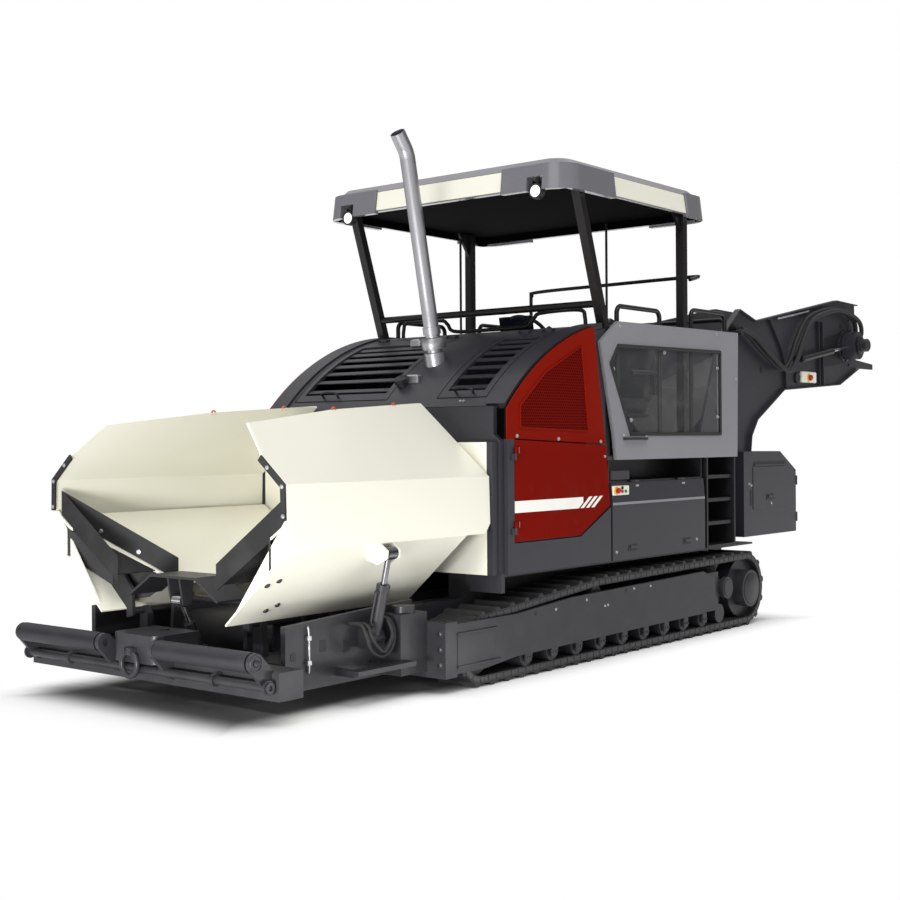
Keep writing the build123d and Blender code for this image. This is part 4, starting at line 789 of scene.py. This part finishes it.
def platform_fittings():
    """Console screen and levers, window gaskets and handles, lid latches and the stop button panel."""
    screen = block(at(-2.262, -0.20, 2.462), at(-2.235, 0.14, 2.70), 0.006)
    screen = leaned(screen, at(-2.25, 0, 2.45), radians(-12))
    assemble("console_screen", [screen], SCREEN, "chassis")
    knob = [(0.01, 0), (0.024, 0.015), (0.024, 0.035), (0.0, 0.05)]
    stalks = []
    for y in (0.22, 0.28):
        stalks.append(pipe([at(-2.20, y, 2.42), at(-2.24, y, 2.50), at(-2.25, y, 2.56)], 0.010, 10))
        stalks.append(lathe(at(-2.25, y, 2.55), (0, 0, 1), knob, 16))
    fit("console_levers", stalks, "black_plastic")
    pane = np.array([(-1.745, 2.230), (-1.850, 2.370), (-3.500, 2.395), (-3.500, 1.690), (-2.030, 1.690)])
    loop = np.concatenate([pane, pane[:1], pane[:1] + (pane[1] - pane[0]) * 0.3])
    for side, s in SIDES:
        line = np.stack([loop[:, 0] + STATION, np.full(len(loop), s * (SKIN - 0.001)), loop[:, 1]], -1)
        fit(f"window_gasket_{side}", [carry(round_profile(0.016, 8), line)], "black_rubber")
        out = (0, s, 0)
        bar = [at(x, s * (SKIN + off), 1.652) for x, off in ((-1.93, 0), (-1.94, 0.018), (-2.00, 0.024),
                                                             (-2.19, 0.024), (-2.25, 0.018), (-2.26, 0))]
        fit(f"window_handle_{side}", [pipe(bar, 0.011, 40)], "black_plastic")
        screws = [(-2.574, 2.352), (-1.800, 2.190), (-2.055, 1.800), (-3.470, 2.255), (-3.470, 1.836)]
        heads = bolt_heads([at(x, s * 1.188, z) for x, z in screws], out, 0.013, 0.012)
        screws = [(-1.881, 2.525), (-3.451, 2.545), (-3.790, 2.172), (-1.93, 1.68), (-2.26, 1.68)]
        heads += bolt_heads([at(x, s * SKIN, z) for x, z in screws], out, 0.010)
        assemble(f"window_bolts_{side}", heads, BRIGHT_BOLT, "chassis")
        plates, grips = [], []
        for x in (-1.986, -2.842):
            plates.append(block(at(x - 0.132, s * SKIN, 0.778), at(x, s * (SKIN + 0.003), 0.828), 0.001))
            low, high = at(x - 0.120, s * (SKIN + 0.003), 0.792), at(x - 0.03, s * (SKIN + 0.009), 0.820)
            grips.append(block(low, high, 0.003))
        fit(f"storage_latches_{side}", plates, "black_plastic", f"storage_lid_{side}")
        fit(f"storage_grips_{side}", grips, "charcoal_paint", f"storage_lid_{side}")
        heads = bolt_heads([at(x, s * SKIN, z) for x, z in ((-1.814, 0.781), (-3.069, 0.808))], out, 0.009)
        heads += bolt_heads([at(x, s * 1.189, 1.285) for x in (-2.13, -2.15, -2.86, -2.88)], out, 0.007)
        assemble(f"storage_bolts_{side}", heads, BRIGHT_BOLT, f"storage_lid_{side}")
        door = f"rear_box_door_{side}"
        flap = [(-4.305, 1.388), (-4.305, 1.010), (-4.315, 1.000), (-5.000, 1.000), (-5.010, 1.010),
                (-5.010, 1.388)]
        sheet = outline_plate(flap, at(0, s * 1.1, 0), (1, 0, 0), (0, 0, 1), -0.005 * s, 0.001)
        fit(f"rear_door_flap_{side}", [sheet], "charcoal_paint", door)
        # Painted shade: thin black plates stand in for the shade in the hollow behind the top grip, a slot at
        # the door's edge and the hollow behind the small grip.
        dark = [block(at(-4.972, s * 1.1, 1.392), at(-4.324, s * 1.103, 1.437), 0.001),
                block(at(-4.290, s * 1.1, 1.038), at(-4.252, s * 1.103, 1.178), 0.001),
                block(at(-4.720, s * 1.105, 1.079), at(-4.573, s * 1.109, 1.134), 0.001)]
        fit(f"rear_door_slots_{side}", dark, "black_plastic", door)
        grip = [block(at(-4.960, s * 1.103, 1.396), at(-4.336, s * 1.112, 1.410), 0.003),
                block(at(-4.700, s * 1.109, 1.095), at(-4.600, s * 1.116, 1.122), 0.003)]
        fit(f"rear_door_grips_{side}", grip, "charcoal_paint", door)
        heads = bolt_heads([at(x, s * 1.1, z) for x, z in ((-4.232, 1.235), (-4.272, 1.221))], out, 0.009)
        lock = [(0.014, 0), (0.014, 0.006), (0.010, 0.008), (0, 0.008)]
        heads.append(lathe(at(-4.664, s * 1.105, 1.048), out, lock, 18))
        assemble(f"rear_door_bolts_{side}", heads, BRIGHT_BOLT, door)
    rail = ((0.935, 2.440), (0.935, 2.600), (0.876, 2.664), (0.525, 2.662), (0.447, 2.626), (0.367, 2.562),
            (0.0, 2.556))
    rail += tuple((-y, z) for y, z in rail[-2::-1])
    rails = [pipe([at(-1.800, y, z) for y, z in rail], 0.016, 90, 12)]
    rail = ((-3.120, 1.125, 2.995), (-3.280, 1.100, 3.030), (-3.300, 1.02, 3.040), (-3.300, 0.20, 3.035),
            (-3.300, -0.570, 3.025), (-3.300, -0.645, 2.990), (-3.300, -0.655, 2.90), (-3.300, -0.655, 1.540))
    rails.append(pipe([at(*p) for p in rail], 0.016, 120, 12))
    for x, y in ((-3.150, 0.275), (-2.840, -1.130)):
        rails.append(pipe([at(x, y, 1.540), at(x, y, 3.560)], 0.011))
    fit("platform_rails", rails, "brown_black_paint")
    for side, s in SIDES:
        rise = [outline_plate([(0.345, 0), (1.130, 0), (1.130, 0.30), (0.345, 0.30)], at(-1.800, 0, 2.110),
                              (0, s, 0), (0, 0, 1), 0.006 * s, 0.001)]
        fit(f"front_wall_{side}", rise, "window_grey")
        ramp = np.array([-0.76, 0, -0.65])
        tread = [outline_plate([(0.345, 0), (1.130, 0), (1.130, 0.80), (0.345, 0.80)], at(-1.800, 0, 2.105),
                               (0, s, 0), ramp, 0.006 * s, 0.001)]
        assemble(f"foot_plate_{side}", tread, CHEQUER, "chassis")
        # Painted highlight: a pale grey strip on the dark lid stands in for the light caught by the lid's
        # sloped fold.
        fold = [block(at(-3.215, s * 1.1965, 1.142), at(-1.770, s * 1.2025, 1.162), 0.001)]
        fit(f"storage_fold_highlight_{side}", fold, "window_grey", f"storage_lid_{side}")
    fit("valve_box", [block(at(-2.060, 1.095, 1.330), at(-1.788, 1.172, 1.409), 0.006)], "charcoal_paint")
    lid = "storage_lid_left"
    panel = [block(at(-2.000, 1.180, 1.217), at(-1.772, 1.204, 1.290), 0.004)]
    fit("stop_panel", panel, "cream_paint", lid)
    button = [(0.016, 0), (0.016, 0.01), (0.022, 0.012), (0.022, 0.024), (0.015, 0.031), (0, 0.033)]
    small = [(0.013, 0), (0.013, 0.008), (0.010, 0.012), (0, 0.012)]
    base = [(0.031, 0), (0.031, 0.006), (0.028, 0.008), (0, 0.008)]
    out = (0, 1, 0)
    assemble("stop_button_plate", [lathe(at(-1.812, 1.203, 1.254), out, base, 24)], YELLOW, lid)
    reds = [lathe(at(-1.812, 1.209, 1.254), out, button, 22), lathe(at(-1.895, 1.203, 1.246), out, small, 18)]
    assemble("stop_buttons", reds, BUTTON_RED, lid)
    assemble("start_button", [lathe(at(-1.945, 1.203, 1.246), out, small, 18)], BUTTON_GREEN, lid)
    fit("key_switch", [lathe(at(-1.895, 1.203, 1.274), out, small, 18)], "black_plastic", lid)


def strap(points, width, thick):
    """Flat bar of rectangular section along straight runs, its width across the machine."""
    half, rise = width / 2, thick / 2
    return carry([(half, -rise), (half, rise), (-half, rise), (-half, -rise)], points)


def conveyor_fittings():
    """Gooseneck: rim flanges, ribs, rods, hydraulic lines, gear motor, bolts and its stop panel."""
    top = ((-4.40, 2.600), (-4.76, 2.880), (-5.10, 2.790), (-7.00, 3.130), (-7.56, 3.120))
    low = ((-4.62, 1.000), (-4.96, 1.500), (-4.99, 1.680), (-5.12, 1.837), (-5.712, 2.140), (-7.077, 2.228),
           (-7.60, 2.420))
    ribs = (((-5.42, 2.82), (-5.68, 2.54), (-5.76, 2.33), (-5.775, 2.16)), ((-6.556, 2.88), (-6.585, 2.21)),
            ((-6.650, 2.88), (-6.675, 2.21)))
    recess = [(-6.690, 2.700), (-7.101, 2.785), (-7.470, 2.850), (-7.470, 2.500), (-6.953, 2.430),
              (-6.690, 2.410)]
    line = ((-4.62, 2.705), (-4.904, 2.637), (-5.206, 2.496), (-5.600, 2.345), (-5.806, 2.433),
            (-5.976, 2.660), (-6.193, 2.870), (-6.501, 2.975), (-6.95, 3.030), (-7.38, 2.960),
            (-7.48, 2.830), (-7.36, 2.700))
    drum = (-7.268, 2.653)
    frames, heads, lines, dark, rods = [], [], [], [], []
    for side, s in SIDES:
        skin = s * 0.717
        # Painted shade: a dark plate on each side of the neck stands in for the shade in its recess by the
        # head drum.
        dark.append(outline_plate(recess, at(0, s * 0.715, 0), (1, 0, 0), (0, 0, 1), -0.005 * s, 0.001))
        out = (0, s, 0)
        for x, z, r in ((-5.271, 2.320, 0.030), (-7.189, 2.867, 0.026)):
            dark.append(lathe(at(x, s * 0.715, z), out, [(r, 0), (r, 0.004), (0, 0.004)], 20))
        ends = ((-6.036, 2.458), (-6.787, 2.576), (-7.157, 2.635))
        foot, neck, eye = (at(x, s * 0.790, z) for x, z in ends)
        dark.append(pipe([foot, neck], 0.034, sides=16))
        dark += [block(p + (-0.03, -0.075 * s, -0.03), p + (0.03, 0.03 * s, 0.03), 0.006)
                 for p in (foot, eye)]
        rods.append(pipe([neck - (neck - foot) * 0.02, eye], 0.017, sides=14))
        rods.append(pipe([at(-5.56, s * 0.745, 2.845), at(-6.30, s * 0.745, 2.968)], 0.012, sides=10))
        frames += [strap([at(x, s * 0.728, z) for x, z in run], 0.055, 0.012) for run in (top, low)]
        frames += [strap([at(x, s * 0.728, z) for x, z in run], 0.040, 0.014) for run in ribs]
        plate = [(0.17, 0), (0.17, 0.018), (0.155, 0.022), (0, 0.022)]
        frames.append(lathe(at(drum[0], skin - 0.002 * s, drum[1]), out, plate, 32))
        heads += bolt_heads(ring_of(at(drum[0], skin + 0.02 * s, drum[1]), out, 0.158, 8), out, 0.011)
        for x, z in ((-4.35, 1.9), (-4.35, 2.3), (-4.55, 2.5), (-4.75, 2.6), (-7.40, 2.95), (-7.40, 2.45)):
            heads += bolt_heads([at(x, skin - 0.001 * s, z)], out, 0.014)
        for rise in (0.0, 0.055):
            path = [at(x - rise * 0.5, s * (0.765 + rise), z - rise * 0.3) for x, z in line]
            lines.append(pipe(path, 0.024, 110, 12))
            z = 2.705 - rise
            lines.append(pipe([at(-4.62, s * 0.714, z), at(-4.62, s * (0.79 + rise), z)], 0.030, sides=12))
    assemble("neck_dark_parts", dark, DARK, "chassis")
    fit("neck_rods", rods, "chrome")
    fit("neck_flanges", frames, "charcoal_paint")
    assemble("neck_bolts", heads, BOLT_LOOK, "chassis")
    assemble("neck_lines", lines, HOSE, "chassis")
    fit("neck_stop_panel", [block(at(-6.490, 0.714, 2.225), at(-6.140, 0.745, 2.340), 0.005)], "cream_paint")
    out = (0, 1, 0)
    base = [(0.042, 0), (0.042, 0.006), (0.038, 0.008), (0, 0.008)]
    button = [(0.022, 0), (0.022, 0.01), (0.030, 0.012), (0.030, 0.026), (0.020, 0.034), (0, 0.036)]
    assemble("neck_button_plate", [lathe(at(-6.302, 0.744, 2.278), out, base, 24)], YELLOW, "chassis")
    assemble("neck_stop_button", [lathe(at(-6.302, 0.750, 2.278), out, button, 22)], BUTTON_RED, "chassis")
    boss = [(0.055, 0), (0.055, 0.02), (0.045, 0.028), (0, 0.028)]
    bosses = [lathe(at(-6.06, s * 0.714, 2.270), (0, s, 0), boss, 26) for s in (1, -1)]
    fit("neck_bosses", bosses, "black_plastic")
    motor = [(0.06, 0), (0.06, 0.02), (0.10, 0.024), (0.10, 0.03), (0.07, 0.034), (0.07, 0.10),
             (0.055, 0.112), (0, 0.112)]
    fit("neck_motor", [lathe(at(drum[0], 0.888, drum[1]), (0, 1, 0), motor, 26)], "black_paint")


def cylinder_lines():
    """Hydraulic line and port blocks along the barrel of each wing cylinder."""
    for side, s in SIDES:
        base, eye = at(0.76, s * 1.020, 0.410), at(0.76, s * 1.150, 0.945)
        along = unit(eye - base)
        side_way = np.array([1.0, 0, 0])
        out = unit(np.cross(along, side_way)) * s
        ports = []
        for d in (0.085, 0.30):
            ports.append(pipe([base + along * d, base + along * d + side_way * 0.058], 0.014, sides=12))
        run = [base + along * 0.30 + side_way * 0.052, base + along * 0.28 + side_way * 0.058,
               base + along * 0.11 + side_way * 0.058, base + along * 0.085 + side_way * 0.052 + out * 0.01]
        ports.append(pipe(run, 0.007, 20))
        fit(f"wing_cylinder_lines_{side}", ports, "black_paint", f"wing_cylinder_{side}")


def lamp_bezels():
    """Black rims round the two roof lamps."""
    rim = [(0.049, -0.045), (0.058, -0.04), (0.058, 0.012), (0.050, 0.014), (0.044, 0.011)]
    rims = [turned_ring(at(-1.130, y, 3.493), (1, 0, 0), rim) for y in (-0.95, 0.95)]
    fit("lamp_bezels", rims, "black_plastic")


def studio():
    """Pale floor, grey under the machine as a painted shadow and glowing white beside it, white surroundings,
    soft lights and the camera.
    """
    corners = 400.0 * np.array([(-1, -1, 0), (1, -1, 0), (1, 1, 0), (-1, 1, 0)])
    mesh = bpy.data.meshes.new("floor")
    mesh.from_pydata(corners.tolist(), [], [(0, 1, 2, 3)])
    floor = bpy.data.objects.new("floor", mesh)
    bpy.context.scene.collection.objects.link(floor)
    look = Look("studio_floor", Roughness=0.9, Specular_IOR_Level=0.1)
    x, y = look.x - STATION, look.y
    side_edge = 1.2 - x.ramp(0.2, 0.6) * 0.22
    beside = x.math("MAXIMUM", abs(x + 1.2) - 3.2, (abs(y) - side_edge) * 1.4)
    # Painted shadow: the floor's colour turns grey under the machine and pale beside it.
    look.set(Base_Color=look.mix(beside.ramp(-0.30, 0.10), shade(120, 120, 121), shade(246, 246, 246)))
    glow = look.node("ShaderNodeEmission", {}, {"Color": (1.0, 1.0, 1.0, 1.0), "Strength": 1.0})
    look.blend(beside.ramp(-0.02, 0.50), glow)
    mesh.materials.append(look.material)

    world = bpy.data.worlds.new("studio")
    world.use_nodes = True
    sky = Nodes(world.node_tree)
    x, y, z = sky.split(sky.node("ShaderNodeTexCoord", {}, {}, "Generated"))
    softbox = z.ramp(0.35, 0.75) * 0.80
    panel = (x * 0.10 + y * 0.995).ramp(0.80, 0.93) * 0.08
    dark_card = (x * -0.86 + y * 0.50).ramp(0.86, 0.97) * 0.16
    level = softbox + panel - dark_card + 0.26
    ray = sky.node("ShaderNodeLightPath", {}, {}, "Is Camera Ray")
    through = Signal(sky, ray.out.node.outputs["Is Transmission Ray"])
    seen = ray.math("MAXIMUM", ray, through)
    strength = seen + (1 - seen) * level
    back = sky.node("ShaderNodeBackground", {}, {"Color": (1.0, 1.0, 1.0, 1.0), "Strength": strength})
    end = sky.tree.nodes.new("ShaderNodeOutputWorld")
    sky.tree.links.new(back.out, end.inputs["Surface"])
    bpy.context.scene.world = world

    def sun(name, heading, height, strength, softness):
        lamp_data = bpy.data.lights.new(name, "SUN")
        lamp_data.energy = strength
        lamp_data.angle = radians(softness)
        light = bpy.data.objects.new(name, lamp_data)
        light.rotation_euler = (radians(90 - height), 0, radians(heading + 90))
        bpy.context.scene.collection.objects.link(light)

    sun("key_light", 55, 56, 0.75, 25)
    sun("front_fill", 20, 20, 0.50, 40)

    def floor_strip(name, place, aim, power, length):
        lamp_data = bpy.data.lights.new(name, "AREA")
        lamp_data.shape = "RECTANGLE"
        lamp_data.size = length
        lamp_data.size_y = 0.3
        lamp_data.energy = power
        light = bpy.data.objects.new(name, lamp_data)
        light.location = place
        light.rotation_euler = Vector(aim - place).to_track_quat("-Z", "Y").to_euler()
        light.visible_camera = False
        bpy.context.scene.collection.objects.link(light)

    floor_strip("side_strip", at(0.6, 2.0, 0.12), at(0.6, 0.85, 0.75), 7.5, 2.6)
    floor_strip("front_strip", at(4.6, 1.8, 0.15), at(0.8, -0.7, 1.3), 160, 1.6)

    data = bpy.data.cameras.new("camera")
    data.lens = 55.13
    data.shift_y = -0.0109
    data.clip_end = 1000.0
    camera = bpy.data.objects.new("camera", data)
    camera.location = at(7.220, 6.879, 1.65)
    camera.rotation_euler = (radians(90), radians(0.36), radians(129.01))
    bpy.context.scene.collection.objects.link(camera)
    bpy.context.scene.camera = camera
    bpy.context.scene.view_settings.view_transform = "Standard"


undercarriage()
hopper_fittings()
push_beam_fittings()
engine_house_fittings()
seats()
platform_fittings()
conveyor_fittings()
cylinder_lines()
lamp_bezels()
studio()
